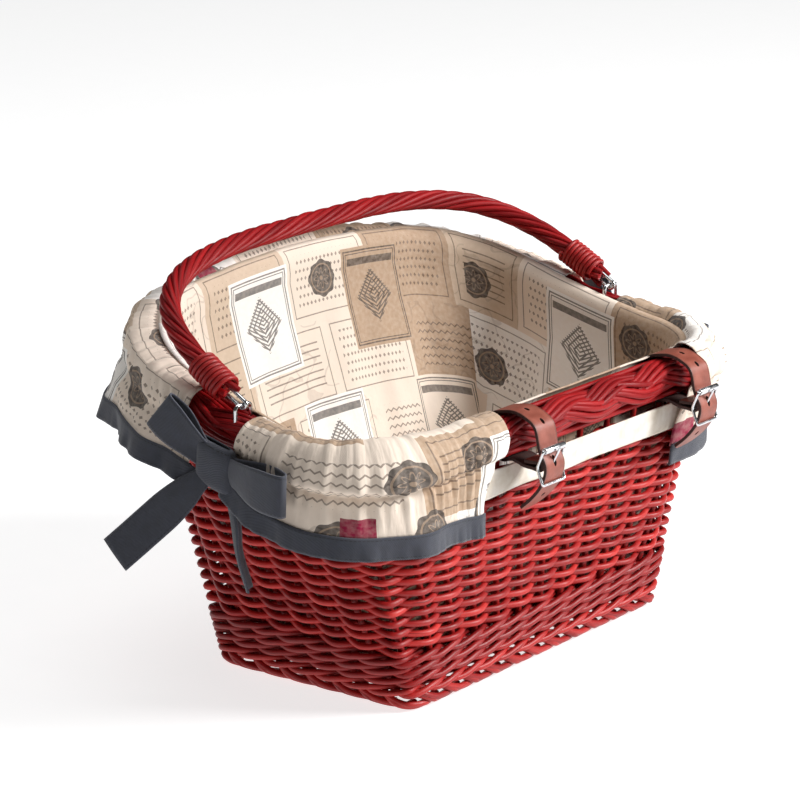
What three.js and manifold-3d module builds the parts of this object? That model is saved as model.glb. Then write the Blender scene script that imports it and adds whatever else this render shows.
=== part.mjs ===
// Woven willow bicycle basket with a swinging bail handle, a cloth liner and two handlebar straps.
// Millimetres, +Z up. X runs along the basket, the strap side (rear) faces -Y, left is -X.
import * as THREE from 'three';
import { mergeVertices } from 'three/addons/utils/BufferGeometryUtils.js';
import Module from 'manifold-3d';

const wasm = await Module();
wasm.setup();

// Clearance between neighbouring pieces
const CLEAR = 0.3;

// Rim, on the centreline of the plaited border
const RIM_REAR_HALF = 226;
const RIM_FRONT_HALF = 211;
const RIM_HALF_DEPTH = 132;
const RIM_REAR_CORNER = 56;
const RIM_FRONT_CORNER = 93;
const RIM_FRONT_BOW = 6;
const RIM_REAR_HEIGHT = 193;
const RIM_FRONT_HEIGHT = 256;
const RIM_SWEEP_POWER = 1.6;
const BORDER_RADIUS = 16.5;
const BORDER_LOBE_DEPTH = 2.6;
const BORDER_LOBES = 3;
const BORDER_TURNS = 8;

// Base and foot
const BASE_REAR_LENGTH = 306;
const BASE_FRONT_LENGTH = 330;
const BASE_WIDTH = 176;
const BASE_CORNER = 26;
const BASE_SHIFT = -32;
const BASE_RAISE = 13;
const BASE_THICK = 8;
const BASE_ROD_PITCH = 11;
const BASE_ROD_DEPTH = 2;
const FOOT_HEIGHT = 9;
const FOOT_WIDTH = 9;
const FOOT_LAP = 8;

// Stakes and weavers
const STAKES_PER_SIDE = { rear: 9, right: 5, front: 9, left: 5 };
const STAKE_RADIUS = 2.75;
const WEAVER_THICK = 4.6;
const WALE_ROWS = 3;
const WALE_HEIGHT = 6.6;
const WALE_PITCH = 7.3;
const RANDING_ROWS = 12;
const RANDING_FILL = 0.86;
const STRAP_GAP = 5;

// Handle bail and its wire eyes
const EYE_HALF_SPAN = 221;
const EYE_Y = -20;
const EYE_RISE = 23;
const BAIL_RISE = 151;
const BAIL_LEAN_DEG = 61.5;
const BAIL_POWER = 3.3;
const ROPE_RADIUS = 8;
const ROPE_LOBE_DEPTH = 1;
const ROPE_LOBES = 6;
const ROPE_TURNS = 4.5;
const ROPE_START = 22;
const BINDING_RADIUS = 1.5;
const BINDING_TURNS = 8;
const BINDING_PITCH = 3.8;
const BINDING_START = 8;
const WIRE_RADIUS = 1.5;
const LINK_SEAT = 28;
const STAPLE_HALF = 8;
const STAPLE_BEND = 3.5;
const STAPLE_BEND_STEPS = 3;
const STAPLE_DEPTH = 15;

// Straps and buckles, set out from the rear border: reach outwards and height
const STRAP_WIDTH = 22;
const STRAP_THICK = 2.4;
const STRAP_PLACES = { left: -52, right: 144 };
const STRAP_TIP = { back: 26, down: 25 };
const STRAP_SEWN = 14;
const STRAP_HOLE_PITCH = 15;
const STRAP_HOLE_LENGTH = 5;
const STRAP_HOLE_WIDTH = 3;
const BUCKLE_REACH = 34;
const BUCKLE_DROP = 17;
const BUCKLE_HALF = 13;
const BUCKLE_BEND = 5;
const BUCKLE_WIRE = 1.25;
const BUCKLE_SIDE_PLAY = 1;
const ROLLER_WALL = 1.05;
const PRONG_RADIUS = 1.1;
const PRONG_SLOT_PLAY = 0.6;
const PRONG_HOLE_LENGTH = 8.5;

// Cloth liner, skirts, trim and bows
const CLOTH = 1.2;
const LINER_WALL_GAP = 0.6;
const SKIRT_DROP = 41;
const SKIRT_ELASTIC_DROP = 24;
const SKIRT_ELASTIC_REACH = 11.5;
const SKIRT_HEM_REACH = 24;
const SKIRT_PUFF = 6;
const OPEN_LEFT_DROP = 45;
const OPEN_RIGHT_DROP = 56;
const OPEN_RIGHT_REACH = 8;
const SKIRT_FOLD = 4.5;
const SKIRT_FOLD_PITCH = 56;
const TRIM_HEIGHT = 14;
const TRIM_THICK = 1.6;
const GAP_REAR_Y = -32;
const GAP_FRONT_Y = 18;
const REAR_OPEN_LEFT = -95;
const REAR_OPEN_RIGHT = 165;
const BAND_HEIGHT = 21;
const RIBBON_WIDTH = 29;
const RIBBON_THICK = 1.5;
const KNOT_Y = -14;
const KNOT_REACH = 24;
const KNOT_ABOVE_HEM = 8;
const KNOT_SIZE = { along: 32, tall: 42, deep: 14 };
const HEM_LIFT = 13;
const HEM_LIFT_RUN = 45;
const BOW_LOOP_LENGTH = 50;
const BOW_LOOP_DEPTH = 11;

// Bow directions and tail ends at the right-hand bow: outwards, towards the front, up
const FRONT_LOOP_WAY = [8, 47, 30];
const REAR_LOOP_WAY = [40, -58, 6];
const FRONT_TAIL_WAY = [0.8, 0.4, -0.45];
const FRONT_TAIL_END = [40, 68, -80];
const DOWN_TAIL_WAY = [0, -0.15, -1];
const DOWN_TAIL_END = [1, -14, -101];

const UP = new THREE.Vector3(0, 0, 1);
const ALONG = new THREE.Vector3(1, 0, 0);
const FORWARD = new THREE.Vector3(0, 1, 0);
const OUT_REAR = FORWARD.clone().negate();

// Finishes
function finish(color, roughness, metalness = 0) {
  return new THREE.MeshStandardMaterial({ color, roughness, metalness });
}
const WILLOW = finish(0x7a1c1e, 0.45);
const WILLOW_DARK = finish(0x5c1416, 0.5);
const CLOTH_CREAM = finish(0xd9c7a8, 0.9);
const TAPE = finish(0x3f4047, 0.85);
const LEATHER = finish(0x8e5a48, 0.6);
const STEEL = finish(0xc8cacd, 0.25, 1);

const basket = new THREE.Group();

function addPiece(name, geometry, material) {
  const mesh = new THREE.Mesh(geometry, material);
  mesh.name = name;
  basket.add(mesh);
}

// Closed bodies from rings of points: joined end to start, or closed by a fan or by a strip across each end
function faceOutward(geometry) {
  const position = geometry.getAttribute('position');
  const index = geometry.getIndex().array;
  const [a, b, c] = [new THREE.Vector3(), new THREE.Vector3(), new THREE.Vector3()];
  let volume = 0;
  for (let i = 0; i < index.length; i += 3) {
    a.fromBufferAttribute(position, index[i]);
    b.fromBufferAttribute(position, index[i + 1]);
    c.fromBufferAttribute(position, index[i + 2]);
    volume += a.dot(b.cross(c));
  }
  if (volume < 0) {
    for (let i = 0; i < index.length; i += 3) {
      [index[i], index[i + 1]] = [index[i + 1], index[i]];
    }
  }
  return geometry;
}

function loft(rings, ends = 'fan') {
  const count = rings[0].length;
  const points = rings.flat();
  const index = [];
  const spans = ends === 'closed' ? rings.length : rings.length - 1;
  for (let i = 0; i < spans; i += 1) {
    const here = i * count;
    const next = ((i + 1) % rings.length) * count;
    for (let j = 0; j < count; j += 1) {
      const k = (j + 1) % count;
      index.push(here + j, next + j, next + k, here + j, next + k, here + k);
    }
  }
  const last = (rings.length - 1) * count;
  if (ends === 'fan') {
    const start = points.length;
    points.push(middleOf(rings[0]), middleOf(rings[rings.length - 1]));
    for (let j = 0; j < count; j += 1) {
      const k = (j + 1) % count;
      index.push(start, j, k, start + 1, last + k, last + j);
    }
  }
  if (ends === 'strip') {
    for (let j = 0; j < count / 2 - 1; j += 1) {
      const [a, b, c, d] = [j, j + 1, count - 2 - j, count - 1 - j];
      index.push(a, b, c, a, c, d, last + a, last + c, last + b, last + a, last + d, last + c);
    }
  }
  const geometry = new THREE.BufferGeometry();
  geometry.setFromPoints(points);
  geometry.setIndex(index);
  return faceOutward(geometry);
}

function middleOf(ring) {
  const middle = new THREE.Vector3();
  ring.forEach((point) => middle.add(point));
  return middle.divideScalar(ring.length);
}

function place(centre, ...terms) {
  const point = centre.clone();
  terms.forEach(([direction, amount]) => point.addScaledVector(direction, amount));
  return point;
}

// Joins and cuts
function solidOf(geometry) {
  const bare = new THREE.BufferGeometry();
  bare.setAttribute('position', geometry.getAttribute('position').clone());
  bare.setIndex(geometry.getIndex());
  const merged = mergeVertices(bare, 1e-4);
  const vertProperties = new Float32Array(merged.getAttribute('position').array);
  const triVerts = new Uint32Array(merged.getIndex().array);
  return new wasm.Manifold(new wasm.Mesh({ numProp: 3, vertProperties, triVerts }));
}

function geometryOf(solid) {
  const mesh = solid.getMesh();
  const geometry = new THREE.BufferGeometry();
  geometry.setAttribute('position', new THREE.BufferAttribute(mesh.vertProperties, 3));
  geometry.setIndex(new THREE.BufferAttribute(mesh.triVerts, 1));
  return geometry;
}

function join(geometries) {
  return geometryOf(geometries.map(solidOf).reduce((sum, next) => sum.add(next)));
}

function cut(geometry, cutters) {
  return geometryOf(cutters.map(solidOf).reduce((rest, next) => rest.subtract(next), solidOf(geometry)));
}

// Round rods: through a list of points, and straight between two points
function rodThrough(points, radius, sides) {
  const ways = points.slice(1).map((point, i) => point.clone().sub(points[i]).normalize());
  const aheadAt = (i) => {
    const before = ways[Math.max(0, i - 1)];
    const after = ways[Math.min(ways.length - 1, i)];
    return before.clone().add(after).normalize();
  };
  const helper = Math.abs(ways[0].z) < 0.9 ? UP : ALONG;
  let side = ways[0].clone().cross(helper).normalize();
  const rings = points.map((point, i) => {
    const ahead = aheadAt(i);
    side = side.clone().addScaledVector(ahead, -side.dot(ahead)).normalize();
    const across = ahead.clone().cross(side);
    return Array.from({ length: sides }, (_, j) => {
      const angle = (2 * Math.PI * j) / sides;
      return place(point, [side, radius * Math.cos(angle)], [across, radius * Math.sin(angle)]);
    });
  });
  return loft(rings);
}

function rodBetween(start, end, radius, sides) {
  const axis = end.clone().sub(start);
  const geometry = new THREE.CylinderGeometry(radius, radius, axis.length(), sides);
  const turn = new THREE.Quaternion().setFromUnitVectors(FORWARD, axis.clone().normalize());
  geometry.applyQuaternion(turn);
  const middle = start.clone().add(end).divideScalar(2);
  return geometry.translate(middle.x, middle.y, middle.z);
}

// A four-sided outline with rounded corners, walked counter-clockwise from corner middle to corner middle
function roundedOutline(corners, radii) {
  const arcs = corners.map((corner, i) => {
    const before = corners[(i + 3) % 4].clone().sub(corner).normalize();
    const after = corners[(i + 1) % 4].clone().sub(corner).normalize();
    const half = Math.acos(before.dot(after)) / 2;
    const inward = before.add(after).normalize();
    const centre = corner.clone().addScaledVector(inward, radii[i] / Math.sin(half));
    return { centre, radius: radii[i], turn: Math.PI - 2 * half, facing: Math.atan2(-inward.y, -inward.x) };
  });
  const onArc = (arc, angle) => {
    const normal = new THREE.Vector2(Math.cos(angle), Math.sin(angle));
    return { point: arc.centre.clone().addScaledVector(normal, arc.radius), normal };
  };
  return (station) => {
    const wrapped = ((station % 4) + 4) % 4;
    const side = Math.floor(wrapped);
    const first = arcs[side];
    const second = arcs[(side + 1) % 4];
    const lineStart = onArc(first, first.facing + first.turn / 2);
    const lineEnd = onArc(second, second.facing - second.turn / 2);
    const firstLength = (first.radius * first.turn) / 2;
    const lineLength = lineStart.point.distanceTo(lineEnd.point);
    const secondLength = (second.radius * second.turn) / 2;
    const walked = (wrapped - side) * (firstLength + lineLength + secondLength);
    if (walked < firstLength) {
      return onArc(first, first.facing + walked / first.radius);
    }
    if (walked <= firstLength + lineLength) {
      const share = (walked - firstLength) / lineLength;
      return { point: lineStart.point.clone().lerp(lineEnd.point, share), normal: lineStart.normal };
    }
    const left = walked - firstLength - lineLength;
    return onArc(second, second.facing - second.turn / 2 + left / second.radius);
  };
}

// Corners of the base, longer at the front, drawn in by an inset
function baseCorners(inset) {
  const rear = BASE_REAR_LENGTH / 2 - inset;
  const front = BASE_FRONT_LENGTH / 2 - inset;
  const halfWidth = BASE_WIDTH / 2 - inset;
  return [[-rear, -halfWidth], [rear, -halfWidth], [front, halfWidth], [-front, halfWidth]].map(
    ([x, y]) => new THREE.Vector2(x, BASE_SHIFT + y),
  );
}

const rimOutline = roundedOutline(
  [
    new THREE.Vector2(-RIM_REAR_HALF, -RIM_HALF_DEPTH),
    new THREE.Vector2(RIM_REAR_HALF, -RIM_HALF_DEPTH),
    new THREE.Vector2(RIM_FRONT_HALF, RIM_HALF_DEPTH),
    new THREE.Vector2(-RIM_FRONT_HALF, RIM_HALF_DEPTH),
  ],
  [RIM_REAR_CORNER, RIM_REAR_CORNER, RIM_FRONT_CORNER, RIM_FRONT_CORNER],
);
const baseOutline = roundedOutline(baseCorners(0), Array(4).fill(BASE_CORNER));

function rimHeight(y) {
  const share = Math.max(0, (y + RIM_HALF_DEPTH) / (2 * RIM_HALF_DEPTH));
  return RIM_REAR_HEIGHT + (RIM_FRONT_HEIGHT - RIM_REAR_HEIGHT) * share ** RIM_SWEEP_POWER;
}

// Centreline of the border, with its horizontal outward direction
function rimAt(station) {
  const { point, normal } = rimOutline(station);
  const front = Math.max(0, point.y / RIM_HALF_DEPTH);
  const y = point.y + RIM_FRONT_BOW * front * (1 - (point.x / RIM_FRONT_HALF) ** 2);
  return {
    centre: new THREE.Vector3(point.x, y, rimHeight(y)),
    out: new THREE.Vector3(normal.x, normal.y, 0),
  };
}

function rimAhead(station) {
  return rimAt(station + 0.005).centre.sub(rimAt(station - 0.005).centre).normalize();
}

// Where the rim passes a given x or y along one side
function rimStation(side, axis, value) {
  let [low, high] = [side, side + 0.99999];
  const rising = rimAt(high).centre[axis] > rimAt(low).centre[axis];
  for (let i = 0; i < 40; i += 1) {
    const middle = (low + high) / 2;
    if (rimAt(middle).centre[axis] < value === rising) {
      low = middle;
    } else {
      high = middle;
    }
  }
  return (low + high) / 2;
}

// Stations spread evenly along each of the four sides
function sideStations(counts) {
  return counts.flatMap((count, side) => Array.from({ length: count }, (_, i) => side + i / count));
}

// Stakes: straight rods from the foot to the underside of the border
const stakes = sideStations(Object.values(STAKES_PER_SIDE)).map((station) => {
  const { point, normal } = baseOutline(station);
  const { centre, out } = rimAt(station);
  const start = new THREE.Vector3(point.x, point.y, FOOT_HEIGHT / 2);
  const rise = centre.clone().sub(start).normalize();
  const slope = Math.abs(rise.dot(rimAhead(station)));
  const below = (BORDER_RADIUS + CLEAR + STAKE_RADIUS * slope) / Math.sqrt(1 - slope ** 2);
  const end = place(centre, [rise, -below]);
  return { station, start, end, rise, length: end.distanceTo(start), low: normal, high: out };
});

function stakeOut(stake, distance) {
  const share = distance / stake.length;
  const out = new THREE.Vector3(stake.low.x, stake.low.y, 0).lerp(stake.high, share);
  return out.addScaledVector(stake.rise, -out.dot(stake.rise)).normalize();
}

// Each side's stretch of the foot border starts just before its corner stake
function footStretch(side) {
  const half = FOOT_WIDTH / 2;
  const section = [
    [half, 0],
    [half, FOOT_HEIGHT * 0.5],
    [half * 0.4, FOOT_HEIGHT],
    [-half * 0.4, FOOT_HEIGHT],
    [-half, FOOT_HEIGHT * 0.5],
    [-half, 0],
  ];
  const corners = baseCorners(0);
  const sideLength = (number) => corners[number % 4].distanceTo(corners[(number + 1) % 4]);
  const from = side - FOOT_LAP / sideLength(side + 3);
  const to = side + 1 - (FOOT_LAP + 2 * CLEAR) / sideLength(side);
  const steps = side % 2 === 0 ? 18 : 12;
  const rings = Array.from({ length: steps + 1 }, (_, i) => {
    const { point, normal } = baseOutline(from + ((to - from) * i) / steps);
    const centre = new THREE.Vector3(point.x, point.y, 0);
    const out = new THREE.Vector3(normal.x, normal.y, 0);
    return section.map(([u, v]) => place(centre, [out, u], [UP, v]));
  });
  return loft(rings);
}

Object.keys(STAKES_PER_SIDE).forEach((name, side) => {
  const own = stakes.filter(({ station }) => Math.floor(station) === side);
  const rods = own.map((stake) => rodBetween(stake.start, stake.end, STAKE_RADIUS, 6));
  addPiece(`${name}_stakes_and_foot`, join([footStretch(side), ...rods]), WILLOW_DARK);
});

// Base: a mat of rods laid side by side along X, trimmed to the stakes
function basePanel() {
  const inset = STAKE_RADIUS + 2 * CLEAR;
  const halfLength = Math.max(BASE_REAR_LENGTH, BASE_FRONT_LENGTH) / 2;
  const halfWidth = BASE_WIDTH / 2 - inset;
  const rods = Math.round((2 * halfWidth) / BASE_ROD_PITCH);
  const pitch = (2 * halfWidth) / rods;
  const wave = [0, 0.75, 1, 0.75];
  const edge = [];
  for (let i = 0; i < rods * wave.length; i += 1) {
    const y = -halfWidth + (i / wave.length) * pitch;
    edge.push([y, BASE_ROD_DEPTH * (1 - wave[i % wave.length])]);
  }
  edge.push([halfWidth, BASE_ROD_DEPTH]);
  const lower = edge.map(([y, dip]) => new THREE.Vector2(y, dip));
  const upper = edge.map(([y, dip]) => new THREE.Vector2(y, BASE_THICK - dip)).reverse();
  const mat = new THREE.ExtrudeGeometry(new THREE.Shape([...lower, ...upper]), {
    depth: 2 * halfLength,
    bevelEnabled: false,
  });
  mat.applyMatrix4(new THREE.Matrix4().makeBasis(FORWARD, UP, ALONG));
  mat.translate(-halfLength, BASE_SHIFT, BASE_RAISE);
  const trimOutline = roundedOutline(baseCorners(inset), Array(4).fill(BASE_CORNER - inset));
  const outline = sideStations([12, 8, 12, 8]).map((station) => trimOutline(station).point);
  const trim = new THREE.ExtrudeGeometry(new THREE.Shape(outline), {
    depth: BASE_THICK + 2,
    bevelEnabled: false,
  });
  trim.translate(0, 0, BASE_RAISE - 1);
  return geometryOf(solidOf(mat).intersect(solidOf(trim)));
}
addPiece('base_panel', basePanel(), WILLOW);

// Weavers: closed rods that pass behind and in front of the stakes, swung wider where they bend round one
const weaverReach = STAKE_RADIUS + CLEAR + WEAVER_THICK / 2;

function weaverRing(distanceAt, heightAt, isOutside) {
  const stops = stakes.map((stake, i) => {
    const distance = distanceAt(stake);
    const sign = isOutside(i) ? 1 : -1;
    return { stake, sign, out: stakeOut(stake, distance), middle: place(stake.start, [stake.rise, distance]) };
  });
  const plain = stops.map(({ middle, out, sign }) => place(middle, [out, sign * weaverReach]));
  const rings = stops.map(({ stake, sign, out, middle }, i) => {
    const before = plain[i].clone().sub(plain.at(i - 1));
    const after = plain[(i + 1) % plain.length].clone().sub(plain[i]);
    const turn = Math.atan2(before.x * after.y - before.y * after.x, before.x * after.x + before.y * after.y);
    const wrap = Math.max(0, sign * turn);
    const centre = place(middle, [out, (sign * weaverReach) / Math.cos(wrap / 2)]);
    const half = heightAt(stake) / 2;
    return [[WEAVER_THICK / 2, 0], [0, half], [-WEAVER_THICK / 2, 0], [0, -half]].map(
      ([u, v]) => place(centre, [out, u], [stake.rise, v]),
    );
  });
  return loft(rings, 'closed');
}

const waleStart = BASE_RAISE + BASE_THICK + CLEAR + WALE_HEIGHT / 2;
const waleDistance = (stake, row) => (waleStart + row * WALE_PITCH - stake.start.z) / stake.rise.z;

for (let row = 0; row < WALE_ROWS; row += 1) {
  const ring = weaverRing(
    (stake) => waleDistance(stake, row),
    () => WALE_HEIGHT,
    (i) => (i + row) % 3 !== 0,
  );
  addPiece(`wale_rod_${row + 1}`, ring, WILLOW_DARK);
}

// Randing rows share the wall between the top wale and the gap under the border that the straps pass through
const randingStart = (stake) => waleDistance(stake, WALE_ROWS - 1) + (WALE_HEIGHT / 2 + CLEAR) / stake.rise.z;
const randingPitch = (stake) => (stake.length - STRAP_GAP - randingStart(stake)) / RANDING_ROWS;

for (let row = 0; row < RANDING_ROWS; row += 1) {
  const ring = weaverRing(
    (stake) => randingStart(stake) + (row + 0.5) * randingPitch(stake),
    (stake) => RANDING_FILL * randingPitch(stake),
    (i) => (i + row) % 2 === 0,
  );
  addPiece(`randing_rod_${row + 1}`, ring, WILLOW);
}

// Eyes: a staple let into the border carries the crossbar that the handle swings on
function eyePoint(sign) {
  return new THREE.Vector3(sign * EYE_HALF_SPAN, EYE_Y, rimHeight(EYE_Y) + EYE_RISE);
}

function stapleLegs(sign) {
  const eye = eyePoint(sign);
  const seat = rimHeight(EYE_Y) + BORDER_RADIUS - STAPLE_DEPTH;
  return [-STAPLE_HALF, STAPLE_HALF].map((x) => [
    new THREE.Vector3(eye.x + x, eye.y, seat),
    new THREE.Vector3(eye.x + x, eye.y, eye.z),
  ]);
}

function staple(sign) {
  const eye = eyePoint(sign);
  const [[leftFoot], [rightFoot]] = stapleLegs(sign);
  const shoulder = (x, side) => Array.from({ length: STAPLE_BEND_STEPS + 1 }, (_, i) => {
    const turned = i / STAPLE_BEND_STEPS;
    const angle = (Math.PI / 2) * (side > 0 ? 1 - turned : turned);
    const centre = new THREE.Vector3(x - side * STAPLE_BEND, eye.y, eye.z - STAPLE_BEND);
    return place(centre, [ALONG, side * STAPLE_BEND * Math.cos(angle)], [UP, STAPLE_BEND * Math.sin(angle)]);
  });
  const points = [
    leftFoot,
    ...shoulder(eye.x - STAPLE_HALF, -1),
    ...shoulder(eye.x + STAPLE_HALF, 1),
    rightFoot,
  ];
  return rodThrough(points, WIRE_RADIUS, 6);
}

// Border: a plait of three bundles laid round the rim, drilled for the staples
function border() {
  const stations = sideStations([24, 18, 24, 18]);
  const points = BORDER_LOBES * 3;
  const rings = stations.map((station, i) => {
    const { centre, out } = rimAt(station);
    const ahead = rimAhead(station);
    const lift = out.clone().cross(ahead).normalize();
    const side = ahead.cross(lift).normalize();
    const twist = (2 * Math.PI * BORDER_TURNS * i) / stations.length;
    return Array.from({ length: points }, (_, j) => {
      const angle = (2 * Math.PI * j) / points;
      const radius = BORDER_RADIUS - (BORDER_LOBE_DEPTH * (1 - Math.cos(BORDER_LOBES * angle))) / 2;
      return place(
        centre,
        [side, radius * Math.cos(angle + twist)],
        [lift, radius * Math.sin(angle + twist)],
      );
    });
  });
  const holes = [-1, 1].flatMap((sign) => stapleLegs(sign)).map(([foot, top]) => {
    const bottom = place(foot, [UP, -CLEAR]);
    return rodBetween(bottom, top, WIRE_RADIUS + CLEAR, 8);
  });
  return cut(loft(rings, 'closed'), holes);
}
addPiece('rim_border', border(), WILLOW);

// Handle: the centreline of the bail lies in one plane that leans towards the front
const lean = THREE.MathUtils.degToRad(BAIL_LEAN_DEG);
const armWay = new THREE.Vector3(0, Math.sin(lean), Math.cos(lean));
const bailFace = ALONG.clone().cross(armWay);

function bailCurve() {
  const points = [];
  const samples = 160;
  for (let i = 0; i <= samples; i += 1) {
    const angle = (Math.PI * i) / samples;
    const cosine = Math.cos(angle);
    const across = -Math.sign(cosine) * Math.abs(cosine) ** (2 / BAIL_POWER);
    const rise = BAIL_RISE * Math.sin(angle) ** (2 / BAIL_POWER);
    if (rise > ROPE_START) {
      points.push(place(eyePoint(across), [armWay, rise]));
    }
  }
  const foot = (sign) => place(eyePoint(sign), [armWay, ROPE_START]);
  return new THREE.CatmullRomCurve3([foot(-1), ...points, foot(1)], false, 'centripetal');
}
const bail = bailCurve();
const bailLength = bail.getLength();

function bailFrame(distance) {
  const share = distance / bailLength;
  const side = bail.getTangentAt(share).cross(bailFace).normalize();
  return { centre: bail.getPointAt(share), side };
}

// Hairpin wire: its bow goes round the staple's crossbar and its legs go into the rope
function linkLegs(sign) {
  const half = 2 * WIRE_RADIUS + CLEAR;
  return [-half, half].map((offset) => {
    const start = place(eyePoint(sign), [bailFace, offset]);
    return [start, place(start, [armWay, ROPE_START + LINK_SEAT])];
  });
}

function hairpin(sign) {
  const radius = 2 * WIRE_RADIUS + CLEAR;
  const [[, lowerEnd], [, upperEnd]] = linkLegs(sign);
  const bow = [];
  for (let degrees = -90; degrees <= 90; degrees += 22.5) {
    const angle = THREE.MathUtils.degToRad(degrees);
    bow.push(place(eyePoint(sign), [armWay, -radius * Math.cos(angle)], [bailFace, radius * Math.sin(angle)]));
  }
  return rodThrough([lowerEnd, ...bow, upperEnd], WIRE_RADIUS, 6);
}

function rope() {
  const stations = 58;
  const points = ROPE_LOBES * 2;
  const rings = Array.from({ length: stations + 1 }, (_, i) => {
    const { centre, side } = bailFrame((bailLength * i) / stations);
    const twist = (2 * Math.PI * ROPE_TURNS * i) / stations;
    return Array.from({ length: points }, (__, j) => {
      const radius = ROPE_RADIUS - (j % 2) * ROPE_LOBE_DEPTH;
      const angle = (2 * Math.PI * j) / points + twist;
      return place(centre, [side, radius * Math.cos(angle)], [bailFace, radius * Math.sin(angle)]);
    });
  });
  const holes = [-1, 1].flatMap((sign) => linkLegs(sign)).map(([start, end]) => {
    const bottom = place(end, [armWay, CLEAR]);
    return rodBetween(start, bottom, WIRE_RADIUS + CLEAR, 8);
  });
  return cut(loft(rings), holes);
}
addPiece('handle_rope', rope(), WILLOW);

// Binding: one thin rod wound round each end of the rope
function bindingPoints(sign) {
  const radius = ROPE_RADIUS + CLEAR + BINDING_RADIUS;
  const steps = 12;
  return Array.from({ length: BINDING_TURNS * steps + 1 }, (_, i) => {
    const walked = BINDING_START + (BINDING_PITCH * i) / steps;
    const { centre, side } = bailFrame(sign < 0 ? walked : bailLength - walked);
    const angle = (2 * Math.PI * i) / steps;
    return place(centre, [side, radius * Math.cos(angle)], [bailFace, radius * Math.sin(angle)]);
  });
}

function leastGap(points, apart, diameter) {
  let least = Infinity;
  points.forEach((point, i) => {
    points.slice(i + apart).forEach((other) => {
      least = Math.min(least, point.distanceTo(other) - diameter);
    });
  });
  return least;
}

for (const [hand, sign] of [['left', -1], ['right', 1]]) {
  const winding = bindingPoints(sign);
  const gap = leastGap(winding, 8, 2 * BINDING_RADIUS);
  console.log(`${hand} binding, least gap to itself ${gap.toFixed(2)} mm`);
  addPiece(`${hand}_binding`, rodThrough(winding, BINDING_RADIUS, 4), WILLOW_DARK);
  addPiece(`${hand}_handle_eye`, hairpin(sign), STEEL);
  addPiece(`${hand}_rim_staple`, staple(sign), STEEL);
}

// Straps and buckles are drawn in the plane across the rear border: reach outwards and height
const strapOrigin = new THREE.Vector3(0, -RIM_HALF_DEPTH, RIM_REAR_HEIGHT);
const strapHalf = STRAP_THICK / 2;
const centreBar = new THREE.Vector2(BUCKLE_REACH, -BUCKLE_DROP);
const rollerBar = new THREE.Vector2(BUCKLE_REACH + BUCKLE_BEND, BUCKLE_HALF - BUCKLE_DROP);
const bottomBar = new THREE.Vector2(BUCKLE_REACH + BUCKLE_BEND, -BUCKLE_HALF - BUCKLE_DROP);
const rollerRadius = BUCKLE_WIRE + CLEAR + ROLLER_WALL;
const foldRadius = BUCKLE_WIRE + CLEAR + strapHalf;
const overBar = foldRadius + STRAP_THICK + CLEAR;

function inStrapPlane(across, flat) {
  return place(strapOrigin, [ALONG, across], [OUT_REAR, flat.x], [UP, flat.y]);
}

function arcPoints(centre, radius, fromDeg, toDeg, steps) {
  return Array.from({ length: steps + 1 }, (_, i) => {
    const angle = THREE.MathUtils.degToRad(fromDeg + ((toDeg - fromDeg) * i) / steps);
    return new THREE.Vector2(centre.x + radius * Math.cos(angle), centre.y + radius * Math.sin(angle));
  });
}

// From the sewn fold on the centre bar, round the border, out through the roller and down to the tip
function strapPath() {
  const border = new THREE.Vector2(0, 0);
  const aroundBorder = BORDER_RADIUS + 2 * CLEAR + strapHalf;
  const from = (anchor, x, y) => new THREE.Vector2(anchor.x + x, anchor.y + y);
  const flat = [
    from(centreBar, -STRAP_SEWN, strapHalf + 0.6),
    from(centreBar, -STRAP_SEWN / 2, strapHalf + 1),
    ...arcPoints(centreBar, foldRadius, 90, -90, 4),
    from(centreBar, -STRAP_SEWN / 2, -strapHalf - 1),
    from(centreBar, -STRAP_SEWN, -strapHalf - 0.7),
    ...arcPoints(border, aroundBorder, -62, -265, 8),
    from(border, BUCKLE_REACH * 0.3, aroundBorder + 1.6),
    from(border, BUCKLE_REACH * 0.6, aroundBorder - 1),
    from(border, BUCKLE_REACH * 0.85, aroundBorder - 6.5),
    from(rollerBar, -rollerRadius - CLEAR - STRAP_THICK, -0.5),
    from(centreBar, overBar, 0),
    from(bottomBar, -BUCKLE_WIRE - CLEAR - strapHalf, 0),
    from(bottomBar, -STRAP_TIP.back * 0.46, -STRAP_TIP.down / 2),
    from(bottomBar, -STRAP_TIP.back, -STRAP_TIP.down),
  ];
  const points = flat.map((point) => new THREE.Vector3(point.x, point.y, 0));
  return new THREE.CatmullRomCurve3(points, false, 'centripetal');
}
const strapCurve = strapPath();
const strapLength = strapCurve.getLength();

function strapNormal(along) {
  return new THREE.Vector3(-along.y, along.x, 0);
}

// The prong leaves the centre bar, passes through the strap and rests on the roller
const prongRing = BUCKLE_WIRE + CLEAR + PRONG_RADIUS;
const prongRest = rollerRadius + CLEAR + PRONG_RADIUS;
const prongUp = rollerBar.clone().sub(centreBar).normalize();
const prongOut = new THREE.Vector2(prongUp.y, -prongUp.x);
const prongTip = rollerBar.clone().addScaledVector(prongUp, 3).addScaledVector(prongOut, prongRest + 0.7);

function prongFlat() {
  const way = prongTip.clone().sub(centreBar);
  const distance = way.length();
  const facing = THREE.MathUtils.radToDeg(way.angle() - Math.acos(prongRing / distance));
  return [...arcPoints(centreBar, prongRing, facing - 290, facing, 10), prongTip];
}

function prong(across) {
  return rodThrough(prongFlat().map((flat) => inStrapPlane(across, flat)), PRONG_RADIUS, 6);
}

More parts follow.
